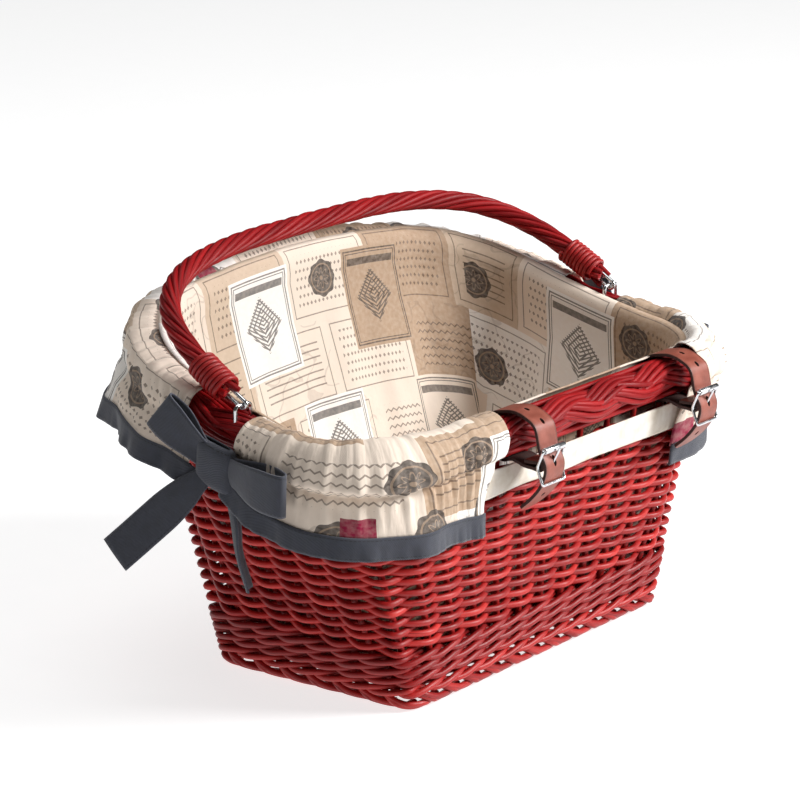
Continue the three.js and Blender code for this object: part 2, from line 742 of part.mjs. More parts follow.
// Distance along the strap, from its sewn end, at which the prong goes through
function crossingDistance() {
  const [start, end] = prongFlat().slice(-2).map((flat) => new THREE.Vector3(flat.x, flat.y, 0));
  const shaft = new THREE.Line3(start, end);
  const gapAt = (share) => {
    const point = strapCurve.getPointAt(share);
    return shaft.closestPointToPoint(point, true, new THREE.Vector3()).distanceTo(point);
  };
  const steps = Math.ceil(strapLength);
  const shares = Array.from({ length: steps }, (_, i) => 0.6 + (0.4 * i) / steps);
  const best = shares.reduce((least, share) => (gapAt(share) < gapAt(least) ? share : least));
  return best * strapLength;
}

function strapHole(across, distance, length, width) {
  const middle = strapCurve.getPointAt(distance / strapLength);
  const normal = strapNormal(strapCurve.getTangentAt(distance / strapLength));
  const [start, end] = [-1, 1].map((sign) => {
    return inStrapPlane(across, middle.clone().addScaledVector(normal, sign * STRAP_THICK));
  });
  const along = ALONG.clone().cross(end.clone().sub(start)).normalize();
  const outline = Array.from({ length: 8 }, (_, k) => {
    const angle = (Math.PI * (k + 0.5)) / 4;
    return [(width / 2) * Math.cos(angle), (length / 2) * Math.sin(angle)];
  });
  return loft([start, end].map((centre) => outline.map(([u, v]) => place(centre, [ALONG, u], [along, v]))));
}

function strap(across) {
  const spans = 2 * (strapCurve.points.length - 1);
  const sides = Array.from({ length: spans + 1 }, (_, i) => {
    const normal = strapNormal(strapCurve.getTangent(i / spans));
    return [1, -1].map((sign) => {
      const edge = strapCurve.getPoint(i / spans).addScaledVector(normal, sign * strapHalf);
      return new THREE.Vector2(edge.x, edge.y);
    });
  });
  const outline = [...sides.map(([upper]) => upper), ...sides.map(([, lower]) => lower).reverse()];
  const band = new THREE.ExtrudeGeometry(new THREE.Shape(outline), { depth: STRAP_WIDTH, bevelEnabled: false });
  band.applyMatrix4(new THREE.Matrix4().makeBasis(OUT_REAR, UP, ALONG.clone().negate()));
  band.translate(across + STRAP_WIDTH / 2, strapOrigin.y, strapOrigin.z);
  const crossing = crossingDistance();
  const slotWidth = 2 * (PRONG_RADIUS + PRONG_SLOT_PLAY);
  const slotReach = foldRadius + strapHalf + CLEAR / 2;
  const foldSlot = new THREE.BoxGeometry(slotWidth, 2 * slotReach, 2 * slotReach);
  const slotCentre = inStrapPlane(across, centreBar);
  foldSlot.translate(slotCentre.x, slotCentre.y, slotCentre.z);
  const spare = [-3, -2, 2].map((count) => {
    return strapHole(across, crossing + count * STRAP_HOLE_PITCH, STRAP_HOLE_LENGTH, STRAP_HOLE_WIDTH);
  });
  return cut(band, [foldSlot, strapHole(across, crossing, PRONG_HOLE_LENGTH, slotWidth), ...spare]);
}

// Buckle frame: a wire rectangle bent to a V at the centre bar
const frameHalf = STRAP_WIDTH / 2 + BUCKLE_SIDE_PLAY + BUCKLE_WIRE;

function buckleFrame(across) {
  const upper = rollerBar.clone().sub(centreBar).normalize();
  const lower = bottomBar.clone().sub(centreBar).normalize();
  const faceOf = (way) => new THREE.Vector2(way.y, -way.x);
  const upperFace = faceOf(upper);
  const lowerFace = faceOf(lower).negate();
  const bisector = upperFace.clone().add(lowerFace).normalize();
  const bendFace = bisector.clone().divideScalar(bisector.dot(upperFace));
  const still = new THREE.Vector2(0, 0);
  const corners = [
    [rollerBar, upper, upperFace],
    [centreBar, still, bendFace],
    [bottomBar, lower, lowerFace],
  ];
  const walk = [...corners.map((c) => [1, ...c]), ...corners.reverse().map((c) => [-1, ...c])];
  const inSpace = (flat) => place(new THREE.Vector3(), [OUT_REAR, flat.x], [UP, flat.y]);
  const rings = walk.map(([side, corner, outward, face]) => {
    const centre = inStrapPlane(across + side * frameHalf, corner);
    const outVector = inSpace(outward).addScaledVector(ALONG, side);
    return Array.from({ length: 8 }, (_, k) => {
      const angle = (2 * Math.PI * k) / 8;
      return place(
        centre,
        [outVector, BUCKLE_WIRE * Math.cos(angle)],
        [inSpace(face), BUCKLE_WIRE * Math.sin(angle)],
      );
    });
  });
  const bar = rodBetween(
    inStrapPlane(across - frameHalf, centreBar),
    inStrapPlane(across + frameHalf, centreBar),
    BUCKLE_WIRE,
    8,
  );
  return join([loft(rings, 'closed'), bar]);
}

function roller(across) {
  const half = frameHalf - BUCKLE_WIRE - CLEAR;
  const inner = BUCKLE_WIRE + CLEAR;
  const profile = [[inner, -half], [rollerRadius, -half], [rollerRadius, half], [inner, half], [inner, -half]];
  const geometry = new THREE.LatheGeometry(profile.map(([r, h]) => new THREE.Vector2(r, h)), 14);
  geometry.rotateZ(Math.PI / 2);
  const centre = inStrapPlane(across, rollerBar);
  return geometry.translate(centre.x, centre.y, centre.z);
}

for (const [hand, across] of Object.entries(STRAP_PLACES)) {
  addPiece(`${hand}_strap`, strap(across), LEATHER);
  addPiece(`${hand}_buckle_frame`, buckleFrame(across), STEEL);
  addPiece(`${hand}_buckle_roller`, roller(across), STEEL);
  addPiece(`${hand}_buckle_prong`, prong(across), STEEL);
}

// Liner bag: a cloth shell standing just inside the weave, its top edge inside the border
const linerStations = sideStations([14, 10, 14, 10]);
const weaveDepth = weaverReach + WEAVER_THICK;

function linerPoint(station, level, inset) {
  const { point, normal } = baseOutline(station);
  const { centre, out } = rimAt(station);
  const foot = new THREE.Vector3(point.x, point.y, FOOT_HEIGHT / 2);
  const low = new THREE.Vector3(normal.x, normal.y, 0);
  const floor = BASE_RAISE + BASE_THICK + CLEAR;
  const share = (floor + level * (centre.z - BORDER_RADIUS - floor) - foot.z) / (centre.z - foot.z);
  const middle = foot.clone().lerp(centre, share);
  return place(middle, [low.lerp(out, share).normalize(), -inset]);
}

function linerBag() {
  const leanSpare = 1.06;
  const wall = (weaveDepth + LINER_WALL_GAP) * leanSpare;
  const besideBorder = BORDER_RADIUS + STRAP_THICK + 5 * CLEAR;
  const wallRings = (extra, lift) => [0, 0.35, 0.7, 0.93].map((level) => linerStations.map((station) => {
    return place(linerPoint(station, level, wall + extra), [UP, level === 0 ? lift : 0]);
  }));
  const rimRing = (inset, height) => linerStations.map((station) => {
    const { centre, out } = rimAt(station);
    return place(centre, [out, -inset], [UP, height]);
  });
  const outer = [...wallRings(0, 0), rimRing(besideBorder, 0), rimRing(besideBorder * 0.87, besideBorder * 0.55)];
  const inner = [
    ...wallRings(CLOTH, CLOTH),
    rimRing(besideBorder + CLOTH, 0),
    rimRing(besideBorder * 0.87 + CLOTH, besideBorder * 0.55),
  ];
  return loft([...outer, ...inner.reverse()]);
}
addPiece('liner_bag', linerBag(), CLOTH_CREAM);

// Skirts: the liner's edge folded over the border, drawn in by elastic and flared to the hem
const skirtRest = BORDER_RADIUS + 3 * CLEAR;

function skirtProfile({ walked, lift, drop, reach, slack }) {
  const wave = (1 - lift / HEM_LIFT) * Math.cos((2 * Math.PI * walked) / SKIRT_FOLD_PITCH);
  const fold = (SKIRT_FOLD * reach) / SKIRT_HEM_REACH;
  const puff = SKIRT_PUFF * slack;
  const low = drop - lift;
  return [
    [-skirtRest * 0.5, skirtRest * 0.93],
    [-skirtRest * 0.05, skirtRest + puff],
    [skirtRest * 0.75, skirtRest * 0.75 + puff],
    [skirtRest + 0.6 * puff + 0.3 * SKIRT_FOLD * (1 + wave), 1],
    [SKIRT_ELASTIC_REACH + CLOTH, -SKIRT_ELASTIC_DROP],
    [(SKIRT_ELASTIC_REACH + reach) / 2 + 0.6 * fold * wave, -(SKIRT_ELASTIC_DROP + low) / 2],
    [reach + fold * wave, -low],
  ];
}

function walkRim(from, to, spacing) {
  const fine = 200;
  const points = Array.from({ length: fine + 1 }, (_, i) => rimAt(from + ((to - from) * i) / fine).centre);
  const sums = points.reduce((list, point, i) => {
    list.push(i === 0 ? 0 : list[i - 1] + point.distanceTo(points[i - 1]));
    return list;
  }, []);
  const total = sums[fine];
  const count = Math.max(4, Math.round(total / spacing));
  return Array.from({ length: count + 1 }, (_, k) => {
    const walked = (total * k) / count;
    const i = Math.min(fine - 1, Math.max(0, sums.findIndex((sum) => sum >= walked) - 1));
    const share = (walked - sums[i]) / (sums[i + 1] - sums[i]);
    return { walked, total, station: from + ((to - from) * (i + share)) / fine };
  });
}

// The hem rises to the knot, and its folds and puff die away, at each end that is tied into a bow
function withHem(stops, ends, hem) {
  return stops.map((stop) => {
    const share = stop.walked / stop.total;
    const away = [stop.walked, stop.total - stop.walked];
    const nearness = away.map((run, i) => (ends[i] ? Math.max(0, 1 - run / HEM_LIFT_RUN) : 0));
    return {
      ...stop,
      lift: HEM_LIFT * Math.max(...nearness) ** 2,
      slack: 1 - Math.max(...nearness),
      drop: THREE.MathUtils.lerp(...hem.drop, share),
      reach: THREE.MathUtils.lerp(...hem.reach, share),
    };
  });
}

const skirtSpacing = SKIRT_FOLD_PITCH / 4;
const tiedEnds = {
  front: [[1, 1], [-1, 1]],
  rear_left: [[-1, -1], null],
  rear_right: [null, [1, -1]],
};
const skirtRuns = {
  front: [rimStation(1, 'y', GAP_FRONT_Y), rimStation(3, 'y', GAP_FRONT_Y)],
  rear_left: [rimStation(3, 'y', GAP_REAR_Y), 4 + rimStation(0, 'x', REAR_OPEN_LEFT)],
  rear_right: [rimStation(0, 'x', REAR_OPEN_RIGHT), rimStation(1, 'y', GAP_REAR_Y)],
};

// Drop and outward reach of the hem at the two ends of each skirt
const hemEnds = {
  front: { drop: [SKIRT_DROP, SKIRT_DROP], reach: [SKIRT_HEM_REACH, SKIRT_HEM_REACH] },
  rear_left: { drop: [SKIRT_DROP, OPEN_LEFT_DROP], reach: [SKIRT_HEM_REACH, SKIRT_HEM_REACH] },
  rear_right: { drop: [OPEN_RIGHT_DROP, SKIRT_DROP], reach: [OPEN_RIGHT_REACH, SKIRT_HEM_REACH] },
};

function skirtPoint(station, [reach, height]) {
  const { centre, out } = rimAt(station);
  return place(centre, [out, reach], [UP, height]);
}

function thickness(profile, k, amount) {
  const [beforeReach, beforeHeight] = profile[Math.max(0, k - 1)];
  const [afterReach, afterHeight] = profile[Math.min(profile.length - 1, k + 1)];
  const length = Math.hypot(afterReach - beforeReach, afterHeight - beforeHeight);
  return [(-(afterHeight - beforeHeight) / length) * amount, ((afterReach - beforeReach) / length) * amount];
}

function skirt(stops) {
  const rings = stops.map((stop) => {
    const { station } = stop;
    const profile = skirtProfile(stop);
    const inside = profile.map((flat) => skirtPoint(station, flat));
    const outside = profile.map((flat, k) => {
      const [reach, height] = thickness(profile, k, CLOTH);
      return skirtPoint(station, [flat[0] + reach, flat[1] + height]);
    });
    return [...inside, ...outside.reverse()];
  });
  return loft(rings, 'strip');
}

// Trim: a tape carried on below each hem, its free ends led to the knots
function knotCentre(sign) {
  const station = rimStation(sign < 0 ? 3 : 1, 'y', KNOT_Y);
  const { centre } = rimAt(station);
  return place(centre, [ALONG, sign * KNOT_REACH], [UP, KNOT_ABOVE_HEM + HEM_LIFT - SKIRT_DROP]);
}

function knotSide(sign, towards) {
  const drop = KNOT_ABOVE_HEM + CLEAR;
  const half = (KNOT_SIZE.along / 2) * Math.sqrt(1 - ((2 * drop) / KNOT_SIZE.tall) ** 2) + CLEAR;
  return place(knotCentre(sign), [FORWARD, towards * half], [UP, -drop]);
}

function trim(stops, ends) {
  const rings = stops.map((stop) => {
    const [reach, height] = skirtProfile(stop).at(-1);
    const top = height - CLEAR;
    return [[0, 0], [TRIM_THICK, 0], [TRIM_THICK, -TRIM_HEIGHT], [0, -TRIM_HEIGHT]].map(
      ([u, v]) => skirtPoint(stop.station, [reach + u, top + v]),
    );
  });
  const tied = (point, sign) => {
    const out = ALONG.clone().multiplyScalar(sign);
    return [[0, 0], [TRIM_THICK, 0], [TRIM_THICK, -TRIM_HEIGHT], [0, -TRIM_HEIGHT]].map(
      ([u, v]) => place(point, [out, u], [UP, v]),
    );
  };
  const [first, last] = ends.map((end) => (end ? [tied(knotSide(...end), end[0])] : []));
  return loft([...first, ...rings, ...last]);
}

for (const [name, [from, to]] of Object.entries(skirtRuns)) {
  const stops = withHem(walkRim(from, to, skirtSpacing), tiedEnds[name], hemEnds[name]);
  addPiece(`${name}_skirt`, skirt(stops), CLOTH_CREAM);
  addPiece(`${name}_trim`, trim(stops, tiedEnds[name]), TAPE);
}

// Rear band: joins the two rear skirts across the strap opening, below the border
function rearBand() {
  const top = -(BORDER_RADIUS + STRAP_GAP + 2 * CLEAR);
  const lean = (RIM_HALF_DEPTH - BASE_WIDTH / 2 + BASE_SHIFT) / (RIM_REAR_HEIGHT - FOOT_HEIGHT / 2);
  const face = (drop) => weaverReach + WEAVER_THICK / 2 + 2 * CLEAR + lean * drop;
  const rings = [REAR_OPEN_LEFT - SKIRT_ELASTIC_REACH, 0, REAR_OPEN_RIGHT + SKIRT_ELASTIC_REACH].map((across) => {
    const low = top - BAND_HEIGHT;
    return [[0, top], [CLOTH, top], [CLOTH, low], [0, low]].map(
      ([out, height]) => inStrapPlane(across, new THREE.Vector2(face(height) + out, height)),
    );
  });
  return loft(rings);
}
addPiece('rear_band', rearBand(), CLOTH_CREAM);

// Bows: a knot with two loops and two tails at each end of the basket
function bowLoop(root, ahead) {
  const width = UP.clone().addScaledVector(ahead, -ahead.z).normalize();
  const depth = width.clone().cross(ahead);
  const points = 14;
  const oval = (long, deep) => Array.from({ length: points }, (_, k) => {
    const angle = (2 * Math.PI * k) / points;
    return new THREE.Vector2((long / 2) * Math.cos(angle), (deep / 2) * Math.sin(angle));
  });
  const shape = new THREE.Shape(oval(BOW_LOOP_LENGTH, BOW_LOOP_DEPTH));
  shape.holes.push(new THREE.Path(oval(BOW_LOOP_LENGTH - 2 * RIBBON_THICK, BOW_LOOP_DEPTH - 2 * RIBBON_THICK)));
  const geometry = new THREE.ExtrudeGeometry(shape, { depth: RIBBON_WIDTH, bevelEnabled: false });
  geometry.translate(0, 0, -RIBBON_WIDTH / 2);
  geometry.applyMatrix4(new THREE.Matrix4().makeBasis(ahead, depth, ahead.clone().cross(depth)));
  const centre = place(root, [ahead, BOW_LOOP_LENGTH / 2]);
  return geometry.translate(centre.x, centre.y, centre.z);
}

function bowTail(start, end, widthWay, sign) {
  const middle = start.clone().lerp(end, 0.5).addScaledVector(ALONG, -sign * RIBBON_THICK);
  const curve = new THREE.CatmullRomCurve3([start, middle, end], false, 'centripetal');
  const steps = 8;
  const rings = Array.from({ length: steps + 1 }, (_, i) => {
    const ahead = curve.getTangentAt(i / steps);
    const side = widthWay.clone().addScaledVector(ahead, -widthWay.dot(ahead)).normalize();
    const face = ahead.clone().cross(side).multiplyScalar(sign);
    const half = RIBBON_WIDTH / 2;
    return [[half, 0], [half, RIBBON_THICK], [-half, RIBBON_THICK], [-half, 0]].map(
      ([u, v]) => place(curve.getPointAt(i / steps), [side, u], [face, v]),
    );
  });
  return loft(rings);
}

function bow(hand, sign) {
  const centre = knotCentre(sign);
  const knot = new THREE.SphereGeometry(0.5, 16, 12);
  knot.scale(KNOT_SIZE.deep, KNOT_SIZE.along, KNOT_SIZE.tall);
  addPiece(`${hand}_bow_knot`, knot.translate(centre.x, centre.y, centre.z), TAPE);
  const mirrored = ([x, y, z]) => new THREE.Vector3(sign * x, y, z);
  const half = new THREE.Vector3(KNOT_SIZE.deep, KNOT_SIZE.along, KNOT_SIZE.tall).divideScalar(2);
  const wayOf = (list) => mirrored(list).normalize();
  const seat = (way) => {
    const stretched = way.clone().multiply(half);
    return place(centre, [stretched.clone().multiply(half), 1 / stretched.length()], [way, CLEAR]);
  };
  for (const [end, list] of [['front', FRONT_LOOP_WAY], ['rear', REAR_LOOP_WAY]]) {
    addPiece(`${hand}_bow_loop_${end}`, bowLoop(seat(wayOf(list)), wayOf(list)), TAPE);
  }
  const tails = [
    ['front', FRONT_TAIL_WAY, FRONT_TAIL_END, new THREE.Vector3(0, 0.75, 0.65)],
    ['down', DOWN_TAIL_WAY, DOWN_TAIL_END, new THREE.Vector3(-sign * 0.8, 0.6, 0)],
  ];
  for (const [end, way, tip, widthWay] of tails) {
    const tailEnd = centre.clone().add(mirrored(tip));
    addPiece(`${hand}_bow_tail_${end}`, bowTail(seat(wayOf(way)), tailEnd, widthWay, sign), TAPE);
  }
}
bow('left', -1);
bow('right', 1);

// The origin is on the floor, under the middle of the whole basket
const box = new THREE.Box3().setFromObject(basket, true);
const middle = box.getCenter(new THREE.Vector3());
basket.position.set(-middle.x, -middle.y, -box.min.z);

export default basket;
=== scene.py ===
# Red willow bicycle basket: woven wall, plaited border, cotton liner, tape bows, straps and handle.
# Lengths are millimetres in the frame of the rim's middle, and become metres when a mesh is made.
import math

import bpy
import numpy as np
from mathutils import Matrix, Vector


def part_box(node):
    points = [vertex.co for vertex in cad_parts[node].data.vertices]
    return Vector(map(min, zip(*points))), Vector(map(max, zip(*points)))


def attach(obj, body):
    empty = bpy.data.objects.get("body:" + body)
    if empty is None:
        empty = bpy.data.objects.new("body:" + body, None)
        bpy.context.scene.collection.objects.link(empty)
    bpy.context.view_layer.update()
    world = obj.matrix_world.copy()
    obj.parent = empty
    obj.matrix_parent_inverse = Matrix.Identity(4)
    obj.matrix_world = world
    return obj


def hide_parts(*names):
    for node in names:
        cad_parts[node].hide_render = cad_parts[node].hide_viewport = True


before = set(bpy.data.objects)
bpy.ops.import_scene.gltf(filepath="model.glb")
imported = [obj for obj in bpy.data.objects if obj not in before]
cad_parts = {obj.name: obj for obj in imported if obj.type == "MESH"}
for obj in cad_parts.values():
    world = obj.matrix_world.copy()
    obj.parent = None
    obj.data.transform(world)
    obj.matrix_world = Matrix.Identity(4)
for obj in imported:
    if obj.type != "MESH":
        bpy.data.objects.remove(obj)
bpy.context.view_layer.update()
rng = np.random.default_rng(41)

# Rim and base
RIM_REAR_HALF = 226
RIM_FRONT_HALF = 211
RIM_HALF_DEPTH = 132
RIM_REAR_CORNER = 56
RIM_FRONT_CORNER = 93
RIM_FRONT_BOW = 6
RIM_REAR_HEIGHT = 193
RIM_FRONT_HEIGHT = 256
RIM_SWEEP_POWER = 1.6
RIM_CROWN = 9
RIM_CROWN_HALF = 160
BORDER_RADIUS = 16.5
BASE_REAR_HALF = 150
BASE_FRONT_HALF = 165
BASE_HALF_WIDTH = 86.5
BASE_CORNER = 12
BASE_SHIFT = -30.5
BASE_TOP = 21
FOOT_MIDDLE = 4.5
OUTLINE_STEPS = 240

# Stakes and weave
STAKES_PER_SIDE = [12, 7, 12, 7]
SIDE_NAMES = ["rear", "right", "front", "left"]
STAKE_RADIUS = 2.5
STAKE_START = 14
STAKE_SEAT = 2
STAKE_POINTS = 12
STAKE_UNEVEN = 0.25
ROD_RADIUS = 2.6
WEAVE_REACH = 4.4
ROW_PITCH = 4.35
ROW_UNEVEN = 0.35
WALE_RADIUS = 2.4
WALE_ROUNDS = 3
WALE_PITCH = 8.2
WALE_START = 21.3
WALE_LIFTS = np.array([-2.15, 2.15, 0.0])
WALE_UNEVEN = 0.2
WALE_PLAY = 0.1
FOOT_WALE_START = 11.4
RANDING_NODES = 12
STRAP_GAP = 4.5

# Foot: each stake's end slants down and out, then runs along under the next two, with a twin beside it.
# The walk holds the place counted in stakes, the offset outwards and the height
FOOT_WALK = [
    (0.0, -1.5, 17.0),
    (0.1, 1.5, 14.5),
    (0.35, 4.6, 11.0),
    (0.65, 5.4, 7.6),
    (0.95, 5.2, 5.2),
    (1.4, 3.4, 3.8),
    (1.85, 0.4, 3.3),
    (2.3, -3.6, 3.1),
]
FOOT_ROD_RADIUS = 2.45
FOOT_LOWEST = 2.3
TWIN_LAG = 0.07
TWIN_DROP = 2.6
TWIN_INSET = 3.2

# Base mat
BASE_INSET = 3.5
BASE_EDGE = 2.9
BASE_RODS = 27
BASE_ROD_RADIUS = 2.85
BASE_STICKS = 9
BASE_STICK_RADIUS = 2.2
BASE_MIDDLE = BASE_TOP - 4
BASE_WAVE = 1.1

# Plaited border
PLAIT_WAVES = 7
PLAIT_STEPS = 60
PLAIT_CURVE = 12.1
PLAIT_REACH = 9.2
PLAIT_DEPTH = 1.9
PLAIT_SUNK = 3
PLAIT_RODS = 4
PLAIT_ROD_RADIUS = 2.3
PLAIT_ROD_SPACING = 4.1
PLAIT_FACING = math.radians(30)
CORE_RADIUS = 10.5
INNER_ROD_RADIUS = 2.4
INNER_ROD_REACH = 13.4
INNER_ROD_ANGLES = np.radians(np.arange(95, 270, 20))

# Handle
EYE_HALF_SPAN = 221
EYE_Y = -20
EYE_HEIGHT = 232
BAIL_RISE = 151
BAIL_LEAN = math.radians(61.5)
BAIL_POWER = 3.3
BAIL_STEP = 2.0
ROPE_START = 16
ROPE_RODS = 8
ROPE_ROD_RADIUS = 2.35
ROPE_COIL_RADIUS = 5.7
ROPE_CORE_RADIUS = 3.7
ROPE_TURNS = 4.5
BINDING_START = 2
BINDING_TURNS = 8
BINDING_PITCH = 3.8
BINDING_RADIUS = 1.75
BINDING_SEAT = 8.1
WIRE_RADIUS = 1.5
STAPLE_HALF = 8
STAPLE_BEND = 3.5
LINK_SEAT = 28
LINK_PLAY = 0.3

# Straps and buckles, in the plane across the rear border: reach outwards and height
STRAP_PLACES = {"left": -52, "right": 144}
STRAP_WIDTH = 22
STRAP_THICK = 2.4
STRAP_CELL = 0.62
STRAP_COLUMNS = 27
STRAP_TIP = 10
STRAP_PLAY = 0.3
STRAP_EDGE = 0.35
HOLE_PITCH = 15
# Lengths and widths of the holes, and the spare ones counted from the prong's
FOLD_SLOT = (11.0, 3.4)
PRONG_HOLE = (8.5, 3.4)
SPARE_HOLE = (5.0, 3.0)
SPARE_PLACES = (-3, -2, 2)
CENTRE_BAR = np.array([34.0, -17.0])
ROLLER_BAR = np.array([39.0, -4.0])
BOTTOM_BAR = np.array([39.0, -30.0])
BUCKLE_WIRE = 1.25
BUCKLE_HALF_WIDTH = 13.25
BUCKLE_CORNER = 2.2
BUCKLE_FACING = np.array([0.02, -1.0, 0.05])
ROLLER_RADIUS = 2.6
ROLLER_BORE = 1.55
ROLLER_HALF = 11.7
ROLLER_SIDES = 48
PRONG_RADIUS = 1.1
PRONG_RING = 2.65
PRONG_REST = 4.7
PRONG_TAPER = np.array([0.97, 0.9, 0.8, 0.62])

# Cloth
CLOTH = 1.0
CLOTH_CELL = 1.7
SKIRT_ROWS = 58
SKIRT_DROP = 41
ELASTIC_DROP = 24
ELASTIC_PINCHED = 9
HEM_REACH = 24
PUFF = 6
OPEN_LEFT_DROP = 44
BOW_SIDE_DROP = 35
OPEN_RIGHT_DROP = 56
OPEN_RIGHT_REACH = 6
HEM_FOLD = 3.2
HEM_FOLD_PITCH = 56
GATHER_PITCH = 9
SWELL_PITCH = 47
SWELL_SEED = 501
PLEAT_PITCH = 23
SNUG = 3
WAIST = 15.8
TRIM_HEIGHT = 17
TRIM_THICK = 1.4
LEAD_STEPS = 6
LEAD_FORWARD = 13.5
LEAD_OUT = 1.5
LEAD_DOWN = 7
GAP_REAR_Y = -32
GAP_FRONT_Y = 18
REAR_OPEN_LEFT = -95
REAR_OPEN_RIGHT = 165
BAND_HEIGHT = 21
BAND_REACH = 8.8
BAND_GAP = 3.6
HEM_LIFT = 13
HEM_LIFT_RUN = 45
TAUT_RUN = 105
DRAWN_RUN = 60
DRAWN_TOP = 18
DRAWN_DEPTH = 62

# Liner: the reach and height of its rows over the border, then its walls and its floor
LINER_TOP = ((-8.7, 16.0), (-12.8, 14.8), (-16.8, 11.2), (-19.5, 5.5), (-20.5, -2.0), (-20.2, -10.0))
LINER_COLUMNS = 420
LINER_INSET = 14.6
LINER_FLOOR = 24.0
LINER_LEVELS = np.linspace(0.9, 0.06, 46)
LINER_RINGS = (0.985, 0.95, 0.88, 0.75, 0.55, 0.3, 0.1, 0.002)
LINER_PANEL_SHIFT = 600
LINER_FLOOR_SHIFT = 3.2

# Bows, about the knot's middle: outwards, forwards and up
KNOT_Y = -14
KNOT_REACH = 24
KNOT_ABOVE_HEM = 8
KNOT_HALF = np.array([7.5, 18.0, 22.0])
KNOT_GIRTH = 0.076
KNOT_SIDES = 72
RIBBON_WIDTH = 29
RIBBON_THICK = 1.2
# Each loop: its way, its length and how far it stands open
BOW_LOOPS = {"front": ((10, 40, 33), 50, 9), "rear": ((11, -60, -3), 70, 14)}
# Each tail: its path, sideways direction, cup, and its narrowest and full share of the tape's width
BOW_TAILS = {
    "front": (((3, 6, -6), (12, 19, -20), (25, 41, -45), (41, 64, -71)), (0, 0.75, 0.65), 1.6, 0.52, 1.0),
    "down": (((2, -9, -13), (2, -15, -36), (3, -21, -62), (1, -29, -88)), (-0.8, 0.6, 0), 5.5, 0.5, 0.72),
}

# Floor and lights, in metres and watts: place, aim, size and power
FLOOR_HALF = 9
FLOOR_DROP = 0.0005
KEY_LIGHT = ((1.5, -2.2, 1.7), (0.0, 0.0, 0.15), 1.2, 130)
TOP_LIGHT = ((0.1, 0.3, 2.6), (0.0, 0.0, 0.1), 2.2, 27)
WORLD_STRENGTH = 0.06

# Camera
CAMERA_AZIMUTH = math.radians(-50.44)
CAMERA_ELEVATION = math.radians(18.03)
CAMERA_DISTANCE = 2.5
CAMERA_LENS = 144.5
CAMERA_SENSOR = 36
CAMERA_TARGET_HEIGHT = 0.12
AIM_UP = 0.058
AIM_RIGHT = -0.0144

SIGNS = {"left": -1, "right": 1}
MM = 0.001
TURN = 2 * math.pi
UP = np.array([0.0, 0.0, 1.0])
ALONG = np.array([1.0, 0.0, 0.0])
FORWARD = np.array([0.0, 1.0, 0.0])

staple_low, staple_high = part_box("left_rim_staple")
SHIFT = np.array([0.0, (staple_low[1] + staple_high[1]) / 2 / MM - EYE_Y, 0.0])


# Small helpers
def unit(v):
    return v / np.linalg.norm(v, axis=-1, keepdims=True)


def dot(a, b):
    return (a * b).sum(axis=-1, keepdims=True)


def smoothstep(x):
    x = np.clip(x, 0, 1)
    return x * x * (3 - 2 * x)


def ripple(run, pitch, seed):
    """A smooth wave of uneven folds, about -1 to 1."""
    draw = np.random.default_rng(seed)
    total = 0
    for stretch, share in ((1.0, 0.55), (0.62, 0.25), (1.71, 0.35)):
        turned = TURN * np.asarray(run) / (pitch * stretch)
        total = total + share * np.sin(turned + draw.uniform(0, 6.28))
    return total


def read_table(wanted, table, rows):
    """Rows of a table at the wanted places, each column on its own."""
    return np.stack([np.interp(wanted, table, column) for column in rows.T], axis=-1)


def flat_to_space(flat, height):
    height = np.broadcast_to(np.asarray(height, float)[..., None], flat.shape[:-1] + (1,))
    return np.concatenate([flat, height], axis=-1)


# Rounded four-sided outline, walked counter-clockwise; whole stations are the corners' middles
def rounded_outline(corners, radii):
    corners = np.array(corners, float)
    arcs = []
    for i in range(4):
        before = unit(corners[i - 1] - corners[i])
        after = unit(corners[(i + 1) % 4] - corners[i])
        half = math.acos(float(before @ after)) / 2
        inward = unit(before + after)
        centre = corners[i] + inward * radii[i] / math.sin(half)
        arcs.append((centre, radii[i], math.atan2(-inward[1], -inward[0]), math.pi - 2 * half))
    points = []
    normals = []
    for i in range(4):
        centre, radius, facing, turn = arcs[i]
        centre2, radius2, _, turn2 = arcs[(i + 1) % 4]
        start = facing + turn / 2
        way = np.array([math.cos(start), math.sin(start)])
        line_start = centre + radius * way
        line_end = centre2 + radius2 * way
        first = radius * turn / 2
        line = np.linalg.norm(line_end - line_start)
        second = radius2 * turn2 / 2
        for k in range(OUTLINE_STEPS):
            walked = (first + line + second) * k / OUTLINE_STEPS
            if walked < first:
                angle = facing + walked / radius
                normal = np.array([math.cos(angle), math.sin(angle)])
                point = centre + radius * normal
            elif walked <= first + line:
                normal = way
                point = line_start + (line_end - line_start) * (walked - first) / line
            else:
                angle = start + (walked - first - line) / radius2
                normal = np.array([math.cos(angle), math.sin(angle)])
                point = centre2 + radius2 * normal
            points.append(point)
            normals.append(normal)
    points = np.array(points + points[:1])
    normals = np.array(normals + normals[:1])
    table = np.arange(len(points)) / OUTLINE_STEPS

    def at(station):
        wrapped = np.mod(station, 4)
        return read_table(wrapped, table, points), unit(read_table(wrapped, table, normals))

    return at


def four_corners(rear_half, front_half, rear_y, front_y):
    return [(-rear_half, rear_y), (rear_half, rear_y), (front_half, front_y), (-front_half, front_y)]


rim_outline = rounded_outline(
    four_corners(RIM_REAR_HALF, RIM_FRONT_HALF, -RIM_HALF_DEPTH, RIM_HALF_DEPTH),
    [RIM_REAR_CORNER, RIM_REAR_CORNER, RIM_FRONT_CORNER, RIM_FRONT_CORNER],
)
BASE_REAR_Y = BASE_SHIFT - BASE_HALF_WIDTH
BASE_FRONT_Y = BASE_SHIFT + BASE_HALF_WIDTH
base_outline = rounded_outline(
    four_corners(BASE_REAR_HALF, BASE_FRONT_HALF, BASE_REAR_Y, BASE_FRONT_Y),
    [BASE_CORNER] * 4,
)


